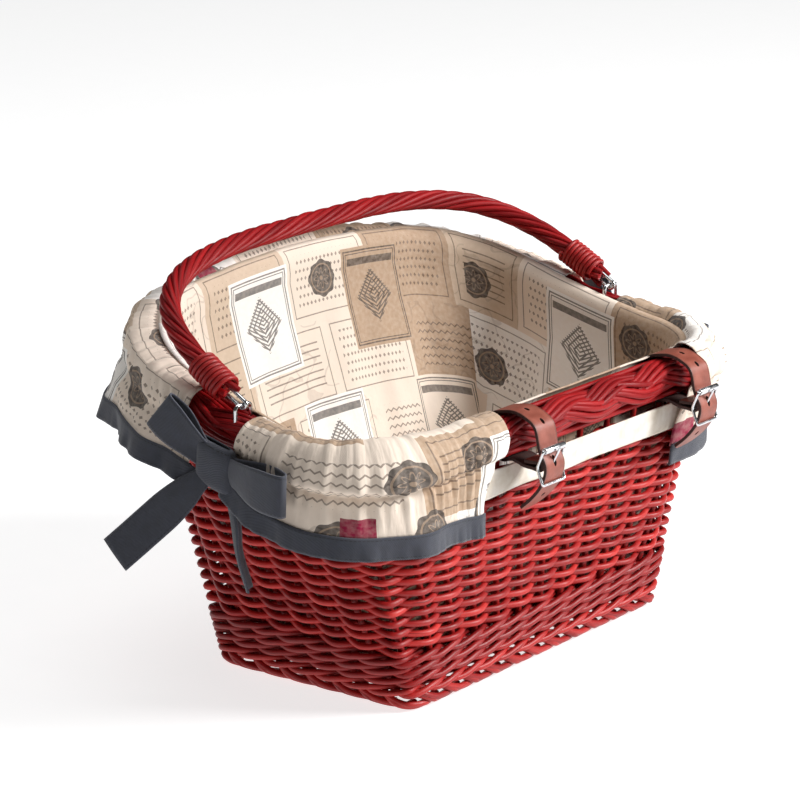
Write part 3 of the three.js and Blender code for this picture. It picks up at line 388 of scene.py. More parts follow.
def rim_at(station):
    """The border's centreline and its horizontal outward direction."""
    flat, normal = rim_outline(station)
    front = np.maximum(0, flat[..., 1] / RIM_HALF_DEPTH)
    y = flat[..., 1] + RIM_FRONT_BOW * front * (1 - (flat[..., 0] / RIM_FRONT_HALF) ** 2)
    share = np.maximum(0, (y + RIM_HALF_DEPTH) / (2 * RIM_HALF_DEPTH))
    height = RIM_REAR_HEIGHT + (RIM_FRONT_HEIGHT - RIM_REAR_HEIGHT) * share**RIM_SWEEP_POWER
    crown = RIM_CROWN * np.maximum(0, 1 - (flat[..., 0] / RIM_CROWN_HALF) ** 2) ** 1.5 * front**3
    return np.stack([flat[..., 0], y, height + crown], axis=-1), flat_to_space(normal, 0.0)


# Curves
def lengths_of(path):
    return np.concatenate([[0], np.cumsum(np.linalg.norm(np.diff(path, axis=0), axis=1))])


def cubic(p0, p1, p2, p3, t):
    """Smooth curve from p1 to p2, which also looks at the points before and after them."""
    bend = (2 * p0 - 5 * p1 + 4 * p2 - p3) * t**2
    return (2 * p1 + (p2 - p0) * t + bend + (3 * p1 - p0 - 3 * p2 + p3) * t**3) / 2


def smooth_path(points, per_span=12):
    """Smooth curve through the points that doesn't swing out where they lie close together."""
    points = np.array(points, float)
    padded = np.concatenate([[2 * points[0] - points[1]], points, [2 * points[-1] - points[-2]]])
    t = np.arange(per_span)[:, None] / per_span
    out = []
    for p0, p1, p2, p3 in zip(padded, padded[1:], padded[2:], padded[3:]):
        d0, d1, d2 = (max(1e-4, np.linalg.norm(b - a)) ** 0.5 for a, b in ((p0, p1), (p1, p2), (p2, p3)))
        t1 = d1 * ((p1 - p0) / d0 - (p2 - p0) / (d0 + d1) + (p2 - p1) / d1)
        t2 = d1 * ((p2 - p1) / d1 - (p3 - p1) / (d1 + d2) + (p3 - p2) / d2)
        bend = (-3 * p1 + 3 * p2 - 2 * t1 - t2) * t**2
        out.append(p1 + t1 * t + bend + (2 * p1 - 2 * p2 + t1 + t2) * t**3)
    return np.concatenate(out + [points[-1:]])


def closed_path(points, per_span):
    """Closed smooth curve through the points."""
    neighbours = (np.roll(points, shift, axis=0)[:, None, :] for shift in (1, 0, -1, -2))
    t = (np.arange(per_span) / per_span)[None, :, None]
    return cubic(*neighbours, t).reshape(-1, points.shape[1])


def spline_rows(keys, rows):
    """Smooth profile through key points, for every column at once."""
    count = keys.shape[1]
    before = 2 * keys[:, :1] - keys[:, 1:2]
    after = 2 * keys[:, -1:] - keys[:, -2:-1]
    padded = np.concatenate([before, keys, after], axis=1)
    place = np.linspace(0, count - 1.0001, rows)
    span = place.astype(int)
    return cubic(*(padded[:, span + k] for k in range(4)), (place - span)[None, :, None])


def resample(path, spacing):
    walked = lengths_of(path)
    count = max(2, int(round(walked[-1] / spacing)))
    return read_table(np.linspace(0, walked[-1], count + 1), walked, path)


def rounded_path(points, radius, steps):
    """Closed path with each corner turned into a short curve."""
    points = np.array(points, float)
    out = []
    for i, corner in enumerate(points):
        before = unit(points[i - 1] - corner) * radius
        after = unit(points[(i + 1) % len(points)] - corner) * radius
        for t in np.linspace(0, 1, steps):
            out.append(corner + before * (1 - t) ** 2 + after * t**2)
    return np.array(out)


def arc(centre, radius, start, end, steps):
    angle = np.radians(np.linspace(start, end, steps + 1))[:, None]
    return centre + radius * np.concatenate([np.cos(angle), np.sin(angle)], axis=1)


def tangents(path, closed=False):
    if closed:
        return unit(np.roll(path, -1, axis=0) - np.roll(path, 1, axis=0))
    return unit(np.gradient(path, axis=0))


# Distances along the rim, over three rounds of it
RIM_TABLE = np.linspace(-4, 8, 4801)
RIM_RUN = lengths_of(rim_at(RIM_TABLE)[0])
RIM_LENGTH = RIM_RUN[-1] / 3


def station_of(run):
    return np.interp(run, RIM_RUN, RIM_TABLE)


def run_of(station):
    return np.interp(station, RIM_TABLE, RIM_RUN)


def rim_station(side, axis, value):
    """The station on one side at which the rim passes a given x (axis 0) or y (axis 1)."""
    stations = np.linspace(side, side + 0.9999, 2000)
    values = rim_at(stations)[0][:, axis]
    order = np.argsort(values)
    return float(np.interp(value, values[order], stations[order]))


# Meshes
class Build:
    """Gathers rods and sheets into one mesh, with UVs in metres and a tone for each rod."""

    def __init__(self):
        self.points = []
        self.faces = []
        self.uvs = []
        self.tones = []
        self.count = 0

    def add(self, points, faces, uvs, tone=0.5):
        self.points.append(points)
        self.faces.append(np.asarray(faces) + self.count)
        self.uvs.append(np.asarray(uvs, float).reshape(-1, 2))
        self.tones.append(np.full(len(points), tone))
        self.count += len(points)

    def grid(self, points, uv_left, uv_right, closed=False, ring=False, tone=0.5):
        """Rows and columns of faces; closed joins the last column to the first one, ring the last row.
        Each face column has its own UVs on its left and right edges."""
        rows, columns = points.shape[:2]
        index = np.arange(rows * columns).reshape(rows, columns)
        if ring:
            index = np.concatenate([index, index[:1]])
        right = np.roll(index, -1, axis=1)
        if not closed:
            index, right = index[:, :-1], right[:, :-1]
        faces = np.stack([index[:-1], index[1:], right[1:], right[:-1]], axis=-1).reshape(-1, 4)
        uvs = np.stack([uv_left[:-1], uv_left[1:], uv_right[1:], uv_right[:-1]], axis=2)
        self.add(points.reshape(-1, 3), faces, uvs, tone)

    def sheet(self, points, rows, columns, swap=False, closed=False):
        """A sheet whose rows and columns lie at the given distances in metres; swap turns its UVs round."""
        uv = np.stack(np.meshgrid(rows, columns, indexing="ij"), axis=-1)
        uv = uv[..., ::-1] if swap else uv
        self.grid(points, uv[:, :-1], uv[:, 1:], closed)

    def rod(self, path, radius, sides=8, closed=False, facing=None):
        """A round rod along a path; facing keeps its rings from twisting."""
        ahead = tangents(path, closed)
        if facing is not None:
            side = unit(facing - ahead * dot(ahead, np.broadcast_to(facing, ahead.shape)))
        else:
            helper = UP if abs(ahead[0, 2]) < 0.9 else ALONG
            side = np.empty_like(ahead)
            current = unit(helper - ahead[0] * (helper @ ahead[0]))
            for i, way in enumerate(ahead):
                current = unit(current - way * (current @ way))
                side[i] = current
        across = np.cross(ahead, side)
        angles = (TURN * np.arange(sides) / sides)[:, None]
        circle = side[:, None] * np.cos(angles) + across[:, None] * np.sin(angles)
        radius = np.broadcast_to(np.asarray(radius, float), (len(path),))[:, None, None]
        rings = path[:, None] + radius * circle
        walked = lengths_of(path) * MM
        if closed:
            walked = np.append(walked, walked[-1] + np.linalg.norm(path[0] - path[-1]) * MM)
        start = float(rng.uniform(0, 5))
        along = np.repeat((walked + start)[:, None], sides, axis=1)
        turns = np.repeat(np.arange(sides)[None, :] / sides, len(walked), axis=0)
        left = np.stack([along, turns], axis=-1)
        right = np.stack([along, turns + 1 / sides], axis=-1)
        tone = float(rng.uniform())
        self.grid(rings, left, right, closed=True, ring=closed, tone=tone)
        if not closed:
            self.cap(rings[0], -ahead[0], True, tone)
            self.cap(rings[-1], ahead[-1], False, tone)

    def cap(self, ring, way, flip, tone):
        """A slightly domed cut end."""
        sides = len(ring)
        points = np.concatenate([ring, [ring.mean(axis=0) + way * 0.3]])
        faces = []
        for j in range(sides):
            following = (j + 1) % sides
            faces.append((sides, following, j, j) if flip else (sides, j, following, following))
        self.add(points, faces, np.zeros((sides, 4, 2)), tone)

    def object(self, name, materials):
        points = (np.concatenate(self.points) + SHIFT) * MM
        faces = np.concatenate(self.faces)
        uvs = np.concatenate(self.uvs)
        triangle = faces[:, 2] == faces[:, 3]
        lists = [tuple(face[:3]) if short else tuple(face) for face, short in zip(faces.tolist(), triangle)]
        keep = np.ones(len(faces) * 4, bool)
        keep[3::4] = ~triangle
        mesh = bpy.data.meshes.new(name)
        mesh.from_pydata(points.tolist(), [], lists)
        layer = mesh.uv_layers.new(name="UVMap")
        layer.data.foreach_set("uv", uvs[keep].ravel())
        tone = mesh.attributes.new("tone", "FLOAT", "POINT")
        tone.data.foreach_set("value", np.concatenate(self.tones))
        mesh.polygons.foreach_set("use_smooth", [True] * len(lists))
        for material in materials:
            mesh.materials.append(material)
        piece = bpy.data.objects.new(name, mesh)
        bpy.context.scene.collection.objects.link(piece)
        return piece


def thicken(piece, thickness, back=0, rim=0):
    solid = piece.modifiers.new("thickness", "SOLIDIFY")
    solid.thickness = thickness * MM
    solid.offset = 0.0
    solid.material_offset = back
    solid.material_offset_rim = rim
    solid.use_quality_normals = True


def dress(piece, node, body="basket"):
    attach(piece, body)
    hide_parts(node)


# Materials
def srgb(red, green, blue):
    shares = [channel / 255 for channel in (red, green, blue)]
    return (*[c / 12.92 if c <= 0.04 else ((c + 0.055) / 1.055) ** 2.4 for c in shares], 1.0)


def operator(operation):
    """A method that makes one arithmetic node."""
    return lambda value, *others: value.graph.math(operation, value, *others)


class Value:
    """A node's output, for sums, comparisons and masks; & keeps what two masks share and | joins them."""

    def __init__(self, graph, socket):
        self.graph = graph
        self.socket = socket

    def __rsub__(self, other):
        return self.graph.math("SUBTRACT", other, self)

    __add__ = __radd__ = operator("ADD")
    __sub__ = operator("SUBTRACT")
    __mul__ = __and__ = operator("MULTIPLY")
    __lt__ = operator("LESS_THAN")
    __gt__ = operator("GREATER_THAN")
    __or__ = operator("MAXIMUM")
    __abs__ = operator("ABSOLUTE")


class Graph:
    """One procedural material; values and plain numbers can both be given to its nodes."""

    def __init__(self, name):
        self.material = bpy.data.materials.new(name)
        self.material.use_nodes = True
        self.tree = self.material.node_tree
        self.shader = self.tree.nodes["Principled BSDF"]

    def put(self, socket, value):
        if isinstance(value, Value):
            self.tree.links.new(value.socket, socket)
        else:
            socket.default_value = value

    def set(self, name, value):
        self.put(self.shader.inputs[name], value)

    def make(self, kind, inputs=(), output=0, **settings):
        """One output of a new node, which is given its inputs by name or by number."""
        node = self.tree.nodes.new(kind)
        for key, value in settings.items():
            setattr(node, key, value)
        for socket, value in dict(inputs).items():
            self.put(node.inputs[socket], value)
        return Value(self, node.outputs[output])

    def math(self, operation, *values):
        return self.make("ShaderNodeMath", enumerate(values), operation=operation)

    def mix(self, share, a, b):
        return self.make("ShaderNodeMix", {0: share, 6: a, 7: b}, 2, data_type="RGBA")

    def ramp(self, value, stops, constant=False):
        colour = self.make("ShaderNodeValToRGB", {0: value})
        ramp = colour.socket.node.color_ramp
        ramp.interpolation = "CONSTANT" if constant else "LINEAR"
        while len(ramp.elements) < len(stops):
            ramp.elements.new(0.5)
        for element, (position, shade) in zip(ramp.elements, stops):
            element.position = position
            element.color = shade
        return colour

    def spread(self, value, low, high, to_low, to_high):
        return self.make("ShaderNodeMapRange", enumerate((value, low, high, to_low, to_high)))

    def vector(self, x, y, z):
        return self.make("ShaderNodeCombineXYZ", enumerate((x, y, z)))

    def split(self, vector):
        first = self.make("ShaderNodeSeparateXYZ", {0: vector})
        return [Value(self, socket) for socket in first.socket.node.outputs]

    def uv(self):
        return self.split(self.make("ShaderNodeTexCoord", output="UV"))[:2]

    def place(self):
        return self.make("ShaderNodeTexCoord", output="Object")

    def tone(self):
        return self.make("ShaderNodeAttribute", output="Fac", attribute_name="tone")

    def noise(self, vector, scale, detail=2.0, rough=0.5):
        inputs = {"Vector": vector, "Scale": scale, "Detail": detail, "Roughness": rough}
        return self.make("ShaderNodeTexNoise", inputs)

    def dice(self, vector):
        """Three random numbers for each cell."""
        inputs = {"Vector": vector}
        return self.split(self.make("ShaderNodeTexWhiteNoise", inputs, "Color", noise_dimensions="3D"))

    def pebbles(self, vector, scale):
        inputs = {"Vector": vector, "Scale": scale}
        return self.make("ShaderNodeTexVoronoi", inputs, feature="DISTANCE_TO_EDGE")

    def bump(self, height, distance, strength, normal=None):
        inputs = {"Strength": strength, "Distance": distance, "Height": height}
        if normal is not None:
            inputs["Normal"] = normal
        return self.make("ShaderNodeBump", inputs)


CREAM = srgb(233, 217, 201)
PALE = srgb(244, 239, 233)
BEIGE = srgb(206, 184, 161)
TAN = srgb(178, 151, 126)
INK = srgb(52, 45, 43)
WINE = srgb(140, 16, 56)
BROWN = srgb(84, 66, 55)

# The cotton's weave and the cells of its print, in metres
THREAD_PITCH = 0.0009
PATCH_CELL = (0.094, 0.066)
MARK_CELL = (0.0046, 0.0068)
TAB_CELL = (0.061, 0.047)
TAB_HALF = (0.0095, 0.0125)
PANEL_CELL = (0.132, 0.112)
PANEL_HALF = (0.034, 0.041)
ROSETTE_PETALS = 8.0


def willow(name, dark, middle, light, coat, gloss):
    """Dyed willow: streaks along the rod, slow patches and dark knots."""
    g = Graph(name)
    along, turn = g.uv()
    angle = turn * TURN
    seed = g.tone() * 37.0
    cosine = g.math("COSINE", angle)
    sine = g.math("SINE", angle)

    def at(pace, width):
        return g.vector(along * pace + seed, cosine * width, sine * width)

    streak = g.noise(at(22.0, 1.3), 2.2, 4.0, 0.62)
    patch = g.noise(at(9.0, 0.35), 1.0, 2.0)
    knot = g.spread(g.noise(at(14.0, 1.0), 1.4, 1.0), 0.72, 0.78, 0.0, 1.0)
    shade = (0.13 + g.tone() * 0.2) + (streak * 0.4 + patch * 0.34)
    colour = g.ramp(shade, [(0.18, dark), (0.55, middle), (0.92, light)])
    g.set("Base Color", g.mix(knot * 0.55, colour, dark))
    g.set("Roughness", g.spread(streak, 0.3, 0.75, 0.36, 0.54))
    g.set("Coat Weight", coat)
    g.set("Coat Roughness", 0.28)
    g.set("Specular IOR Level", gloss)
    grain = g.bump(streak, 0.0006, 0.5)
    g.set("Normal", g.bump(patch - knot * 0.4, 0.0009, 0.45, grain))
    return g.material


def cloth_bump(g, u, v, crease, pleat):
    """Plain weave with soft creases, and fine folds that run across the hem."""
    thread = TURN / THREAD_PITCH
    weave = g.bump(g.math("SINE", u * thread) * g.math("SINE", v * thread), 0.00012, 0.35)
    soft = g.noise(g.vector(u, v, 0.0), 42.0, 3.0, 0.55)
    slub = g.noise(g.vector(u * 900.0, v * 60.0, 0.0), 1.0, 1.0)
    folds = g.noise(g.vector(u * 190.0, v * 34.0, 0.0), 1.0, 2.0)
    return g.bump(soft + slub * 0.06 + folds * pleat, crease, 0.5, weave)


def cells(g, u, v, size, stagger, seed):
    """A brick grid: the place from the cell's middle, in metres, and three random numbers."""
    width, height = size
    row = g.math("FLOOR", v * (1 / height))
    x = u * (1 / width) + row * stagger
    column = g.math("FLOOR", x)
    across = (x - column - 0.5) * width
    down = (v * (1 / height) - row - 0.5) * height
    return across, down, g.dice(g.vector(column, row, seed))


def line(distance, half):
    return abs(distance) < half


def inside_box(g, x, y, half_x, half_y):
    """How deep a point lies inside a rectangle, negative outside it."""
    return g.math("MINIMUM", half_x - abs(x), half_y - abs(y))


def printed_cotton(name, pleat, shift, rosette_cell, rosettes, panels):
    """A patchwork print, with its sizes in metres."""
    g = Graph(name)
    u, v = g.uv()
    u = u + shift[0]
    v = v + shift[1]

    def wave(value, pitch):
        return g.math("PINGPONG", value, pitch)

    # Small patches: a thin frame, zigzags, fine stripes or rows of small diamonds
    x, y, dice = cells(g, u, v, PATCH_CELL, 0.37, 3.0)
    patches = [(0.0, CREAM), (0.3, BEIGE), (0.5, TAN), (0.62, PALE), (0.78, CREAM)]
    colour = g.ramp(dice[0], patches, constant=True)
    depth = inside_box(g, x, y, PATCH_CELL[0] / 2, PATCH_CELL[1] / 2)
    framed = line(depth - 0.0055, 0.0005) & (dice[1] > 0.25)
    zigzag = (wave(y + wave(x, 0.0028) * 0.8, 0.0034) < 0.0007) & (dice[1] < 0.22) & (depth > 0.013)
    stripe = (wave(y, 0.0028) < 0.0006) & (depth > 0.0125)
    striped = stripe & (dice[1] > 0.22) & (dice[1] < 0.46)
    mark_x, mark_y, _ = cells(g, u, v, MARK_CELL, 0.5, 5.0)
    diamond = abs(mark_x) + abs(mark_y) * 0.8
    dotted = (diamond < 0.0014) & (dice[1] > 0.46) & (depth > 0.0115)
    colour = g.mix((framed | zigzag | striped | dotted) * 0.7, colour, BROWN)

    # Pale scroll lines
    scroll = g.noise(g.vector(u, v, 0.3), 46.0, 1.0)
    scrolled = line(scroll - 0.5, 0.016) & (dice[2] > 0.5)
    colour = g.mix(scrolled * 0.2, colour, BROWN)

    # Dark scalloped rosettes
    x, y, dice = cells(g, u, v, rosette_cell, 0.31, 23.0)
    x = x - (dice[1] - 0.5) * (0.28 * rosette_cell[0])
    y = y - (dice[2] - 0.5) * (0.22 * rosette_cell[1])
    radius = g.math("SQRT", x * x + y * y)
    petals = g.math("COSINE", g.math("ARCTAN2", y, x) * ROSETTE_PETALS)
    disc = (dice[0] < rosettes) & (radius < 0.0148 + petals * 0.0007)
    ring = line(radius - 0.0114, 0.0006)
    flower = line(radius - (0.006 + petals * 0.0022), 0.0006)
    light = ring | flower | (radius < 0.0018)
    colour = g.mix(disc * 0.9, colour, INK)
    colour = g.mix((disc & light) * 0.6, colour, TAN)

    # Small wine-red tabs
    x, y, dice = cells(g, u, v, TAB_CELL, 0.29, 17.0)
    tab = inside_box(g, x, y, *TAB_HALF) > 0.0
    colour = g.mix(tab & (dice[0] > 0.9), colour, WINE)

    # Large panels with a lozenge of leaves
    x, y, dice = cells(g, u, v, PANEL_CELL, 0.43, 11.0)
    panel = inside_box(g, x, y, *PANEL_HALF)
    chosen = dice[0] < panels
    panel_colour = g.ramp(dice[1], [(0.0, PALE), (0.6, CREAM), (0.78, TAN)], constant=True)
    colour = g.mix(chosen & (panel > 0.0), colour, panel_colour)
    lozenge = abs(x) + abs(y) * 0.9
    veins = (wave(lozenge, 0.003) < 0.0009) | (wave(abs(x) + y * 1.6, 0.0026) < 0.0011)
    leaves = (lozenge < 0.0205) & veins
    edge = line(panel - 0.003, 0.0006) | line(panel - 0.0052, 0.0004)
    footing = (y < -0.0262) & (y > -0.0322) & (panel > 0.0068)
    colour = g.mix((chosen & (leaves | edge | footing)) * 0.8, colour, INK)

    fibre = g.noise(g.vector(u, v, 0.0), 260.0, 2.0)
    g.set("Base Color", g.mix(g.spread(fibre, 0.35, 0.75, 0.0, 0.2), colour, CREAM))
    g.set("Roughness", 0.88)
    g.set("Sheen Weight", 0.12)
    g.set("Specular IOR Level", 0.25)
    g.set("Normal", cloth_bump(g, u, v, 0.0024, pleat))
    return g.material


def stitches(g, row_distance, half, run, pitch, share):
    """A dashed seam along the run, at one distance from an edge."""
    return line(row_distance, half) & (g.math("FRACT", run * (1 / pitch)) < share)


def plain_cotton(name):
    """Cream cotton with a row of stitches."""
    g = Graph(name)
    u, v = g.uv()
    mottle = g.noise(g.vector(u, v, 0.0), 70.0, 3.0)
    colour = g.mix(g.spread(mottle, 0.35, 0.7, 0.0, 1.0), srgb(240, 233, 222), srgb(216, 203, 184))
    seam = stitches(g, v - 0.0225, 0.0004, u, 0.0032, 0.62)
    g.set("Base Color", g.mix(seam * 0.5, colour, BROWN))
    g.set("Roughness", 0.9)
    g.set("Sheen Weight", 0.1)
    g.set("Normal", cloth_bump(g, u, v, 0.002, 0.5))
    return g.material


def tape(name, width):
    """Slate twill tape with a row of stitches by each edge."""
    g = Graph(name)
    u, v = g.uv()
    twill = g.math("SINE", (u + v * 0.6) * (TURN / 0.0011))
    mottle = g.noise(g.vector(u, v, 0.0), 120.0, 3.0)
    base = g.mix(mottle, srgb(38, 40, 49), srgb(68, 71, 83))
    edge = g.math("MINIMUM", u, width * MM - u)
    colour = g.mix(g.spread(edge, 0.0, 0.0011, 0.55, 0.0), base, srgb(80, 83, 95))
    seam = stitches(g, edge - 0.0019, 0.0003, v, 0.0031, 0.66)
    g.set("Base Color", g.mix(seam * 0.75, colour, srgb(30, 31, 36)))
    g.set("Roughness", g.spread(mottle, 0.3, 0.7, 0.72, 0.88))
    g.set("Sheen Weight", 0.25)
    weave = g.bump(twill, 0.00018, 0.5)
    g.set("Normal", g.bump(mottle - seam * 0.8, 0.0008, 0.4, weave))
    return g.material


def leather(name):
    """Brown leather with burnished edges and a creased line beside each."""
    g = Graph(name)
    u, v = g.uv()
    at = g.vector(u, v, 0.0)
    cloud = g.noise(at, 90.0, 4.0, 0.6)
    colour = g.ramp(cloud, [(0.25, srgb(120, 59, 45)), (0.55, srgb(148, 79, 63)), (0.8, srgb(166, 96, 80))])
    edge = g.math("MINIMUM", u, STRAP_WIDTH * MM - u)
    burnish = g.spread(edge, 0.0003, 0.0016, 0.75, 0.0)
    g.set("Base Color", g.mix(burnish, colour, srgb(84, 48, 40)))
    g.set("Roughness", g.spread(cloud, 0.3, 0.7, 0.36, 0.52))
    g.set("Specular IOR Level", 0.5)
    groove = line(edge - 0.0017, 0.00028)
    fine = g.bump(g.pebbles(at, 1300.0), 0.00025, 0.4)
    g.set("Normal", g.bump(cloud - groove * 0.7, 0.0006, 0.5, fine))
    return g.material


def leather_flesh(name):
    """The dark, napped inner side of the leather."""
    g = Graph(name)
    at = g.vector(*g.uv(), 0.0)
    nap = g.noise(at, 900.0, 3.0)
    cloud = g.noise(at, 120.0, 2.0)
    g.set("Base Color", g.mix(nap * 0.5 + cloud * 0.5, srgb(32, 20, 19), srgb(74, 46, 40)))
    g.set("Roughness", 0.7)
    g.set("Normal", g.bump(nap, 0.0004, 0.5))
    return g.material


def chrome(name):
    """Plated wire, a little hazed."""
    g = Graph(name)
    at = g.place()
    haze = g.noise(at, 160.0, 3.0)
    g.set("Base Color", g.mix(haze, srgb(196, 198, 202), srgb(232, 233, 235)))
    g.set("Metallic", 1.0)
    g.set("Roughness", g.spread(haze, 0.3, 0.7, 0.14, 0.3))
    g.set("Normal", g.bump(g.noise(at, 1400.0, 2.0), 0.00006, 0.3))
    return g.material


def floor_paint(name):
    """A white ground that glows, so that it stays white round the shadow."""
    g = Graph(name)
    grain = g.noise(g.place(), 30.0, 2.0)
    g.set("Base Color", g.mix(grain, srgb(178, 178, 178), srgb(186, 186, 186)))
    g.set("Roughness", 0.9)
    g.set("Emission Color", (1.0, 1.0, 1.0, 1.0))
    g.set("Emission Strength", 0.76)
    return g.material


WILLOW = willow("red_willow", srgb(60, 7, 8), srgb(162, 25, 24), srgb(222, 58, 51), 0.1, 0.36)
# A darker copy of the same willow: painted shade, used for the stakes, their foot and the waling.
SHADED_WILLOW = willow("red_willow_shaded", srgb(58, 7, 8), srgb(152, 22, 22), srgb(210, 52, 46), 0.1, 0.36)
# Darker, duller willow for the handle rope and the border: partly their own deeper colour, partly painted
# shade.
WILLOW_ROPE = willow("red_willow_rope", srgb(52, 5, 7), srgb(136, 12, 17), srgb(184, 28, 30), 0.02, 0.2)
COTTON = printed_cotton("printed_cotton", 0.0, (0.0, 0.0), (0.082, 0.07), 0.62, 0.6)
SKIRT_COTTON = printed_cotton("gathered_cotton", 1.3, (0.031, 0.02), (0.058, 0.05), 0.62, 0.25)
BAND_COTTON = plain_cotton("plain_cotton")
RIBBON = tape("slate_tape", RIBBON_WIDTH)
TRIM_TAPE = tape("slate_trim", TRIM_HEIGHT)
LEATHER = leather("brown_leather")
FLESH = leather_flesh("leather_flesh")
CHROME = chrome("bright_wire")

# Stakes: straight rods from the foot to the underside of the border
side_stations = [side + np.arange(count) / count for side, count in enumerate(STAKES_PER_SIDE)]
stake_stations = np.concatenate(side_stations)
foot_stations = np.append(stake_stations, 4.0 + stake_stations[:4])
STAKES = len(stake_stations)
stake_flat, stake_low = base_outline(stake_stations)
stake_foot = flat_to_space(stake_flat, FOOT_MIDDLE)
stake_low = flat_to_space(stake_low, 0.0)
stake_rim, stake_high = rim_at(stake_stations)
stake_rise = unit(stake_rim - stake_foot)
stake_top = stake_rim - stake_rise * (BORDER_RADIUS - STAKE_SEAT)


def stake_at(index, height):
    """Point on each stake at a height, and the outward direction there."""
    share = (height - stake_foot[index, 2]) / (stake_rim[index, 2] - stake_foot[index, 2])
    share = share[:, None]
    point = stake_foot[index] + (stake_rim[index] - stake_foot[index]) * share
    out = stake_low[index] * (1 - share) + stake_high[index] * share
    out = out - stake_rise[index] * dot(out, stake_rise[index])
    return point, unit(out)


def foot_point(index, offset, height):
    """Points beside the base outline, at places counted in stakes."""
    station = np.interp(index, np.arange(len(foot_stations)), foot_stations)
    flat, normal = base_outline(station)
    return flat_to_space(flat + normal * offset[:, None], height)


def stakes_piece(side, name):
    build = Build()
    thickness = np.linspace(STAKE_RADIUS + 0.15, STAKE_RADIUS - 0.25, STAKE_POINTS)
    for i in np.nonzero(stake_stations.astype(int) == side)[0]:
        path = np.linspace(stake_foot[i] + UP * STAKE_START, stake_top[i], STAKE_POINTS)
        path[1:-1] += rng.normal(0, STAKE_UNEVEN, (STAKE_POINTS - 2, 3))
        build.rod(path, thickness, facing=ALONG)
        for twin in range(2):
            lag, reach, height = np.array(FOOT_WALK).T
            height = np.maximum(FOOT_LOWEST, height - TWIN_DROP * twin)
            reach = reach - TWIN_INSET * twin * (height < 3.0)
            points = foot_point(i + (lag + TWIN_LAG * twin), reach, height)
            radius = FOOT_ROD_RADIUS + rng.uniform(-0.2, 0.15)
            build.rod(smooth_path(points, 6), radius, facing=UP)
    dress(build.object(f"{name}_stakes", [SHADED_WILLOW]), f"{name}_stakes_and_foot")


for side, name in enumerate(SIDE_NAMES):
    stakes_piece(side, name)


# Base: thin rods woven over cross sticks
def base_piece():
    build = Build()
    half_width = BASE_HALF_WIDTH - BASE_INSET
    half_length = BASE_REAR_HALF - BASE_INSET
    corner = BASE_CORNER - BASE_INSET
    sticks = np.linspace(-0.86, 0.86, BASE_STICKS) * BASE_REAR_HALF
    for k in range(BASE_RODS):
        y = -half_width + BASE_EDGE + (2 * half_width - 2 * BASE_EDGE) * k / (BASE_RODS - 1)
        over = max(0.0, abs(y) - (half_width - corner))
        widen = (BASE_FRONT_HALF - BASE_REAR_HALF) * (y + half_width) / (2 * half_width)
        reach = half_length + widen - (corner - math.sqrt(max(0.0, corner**2 - over**2)))
        x = np.linspace(-reach, reach, 61)
        wave = np.interp(x, sticks, np.where((np.arange(BASE_STICKS) + k) % 2 == 0, 1.0, -1.0))
        height = BASE_MIDDLE + BASE_WAVE * np.sin(wave * math.pi / 2)
        path = np.stack([x, np.full_like(x, y + BASE_SHIFT), height], axis=-1)
        build.rod(path, BASE_ROD_RADIUS, facing=UP)
    for x in sticks:
        reach = half_width - (3 if abs(x) < half_length - corner else 12)
        path = np.linspace([x, BASE_SHIFT - reach, BASE_MIDDLE], [x, BASE_SHIFT + reach, BASE_MIDDLE], 10)
        build.rod(path, BASE_STICK_RADIUS, facing=UP)
    dress(build.object("woven_base", [WILLOW]), "base_panel")


base_piece()


# Waling: one long rod for each round, in front of two stakes and behind one, three strands thick
def wale_round(build, start, seed):
    steps = np.arange(3 * STAKES)
    phase = (steps + seed) % 3
    reach = np.where(phase == 2, -1.0, 1.0) * (STAKE_RADIUS + WALE_RADIUS + WALE_PLAY)
    height = start + WALE_PITCH / 2 + WALE_LIFTS[phase] + rng.normal(0, WALE_UNEVEN, len(steps))
    middle, out = stake_at(steps % STAKES, height)
    path = closed_path(middle + out * reach[:, None], 8)
    radius = WALE_RADIUS + 0.12 * ripple(np.arange(len(path)), 190, 7 + seed)
    build.rod(path, radius, closed=True, facing=UP)


for row in range(WALE_ROUNDS):
    build = Build()
    wale_round(build, WALE_START + WALE_PITCH * row, row)
    if row == 0:
        wale_round(build, FOOT_WALE_START, 2)
    dress(build.object(f"waling_{row + 1}", [SHADED_WILLOW]), f"wale_rod_{row + 1}")

# Randing: level rows of single rods, in front of and behind the stakes in turn, up to the border
randing_start = WALE_START + WALE_ROUNDS * WALE_PITCH
highest = stake_rim[:, 2] - BORDER_RADIUS - STRAP_GAP - ROD_RADIUS
row_heights = np.arange(randing_start + ROW_PITCH / 2, highest.max(), ROW_PITCH)


def randing_row(build, row, height):
    level = height + rng.normal(0, ROW_UNEVEN, STAKES)
    sign = np.where((np.arange(STAKES) + row) % 2 == 0, 1.0, -1.0)
    middle, out = stake_at(np.arange(STAKES), level)
    points = middle + out * (sign * WEAVE_REACH)[:, None]
    fits = highest >= height
    whole = bool(fits.all())
    if whole:
        path = closed_path(points, 9)
    elif fits.sum() > 2:
        first = next(i for i in range(STAKES) if fits[i] and not fits[i - 1])
        path = smooth_path(np.roll(points, -first, axis=0)[: fits.sum()], 9)
    else:
        return
    radius = ROD_RADIUS - 0.05 + 0.2 * ripple(np.arange(len(path)), 120, 50 + row)
    build.rod(path, radius, closed=whole, facing=UP)


randing = [Build() for _ in range(RANDING_NODES)]
for row, height in enumerate(row_heights):
    randing_row(randing[row * RANDING_NODES // len(row_heights)], row, height)
for number, build in enumerate(randing, 1):
    dress(build.object(f"randing_{number}", [WILLOW]), f"randing_rod_{number}")


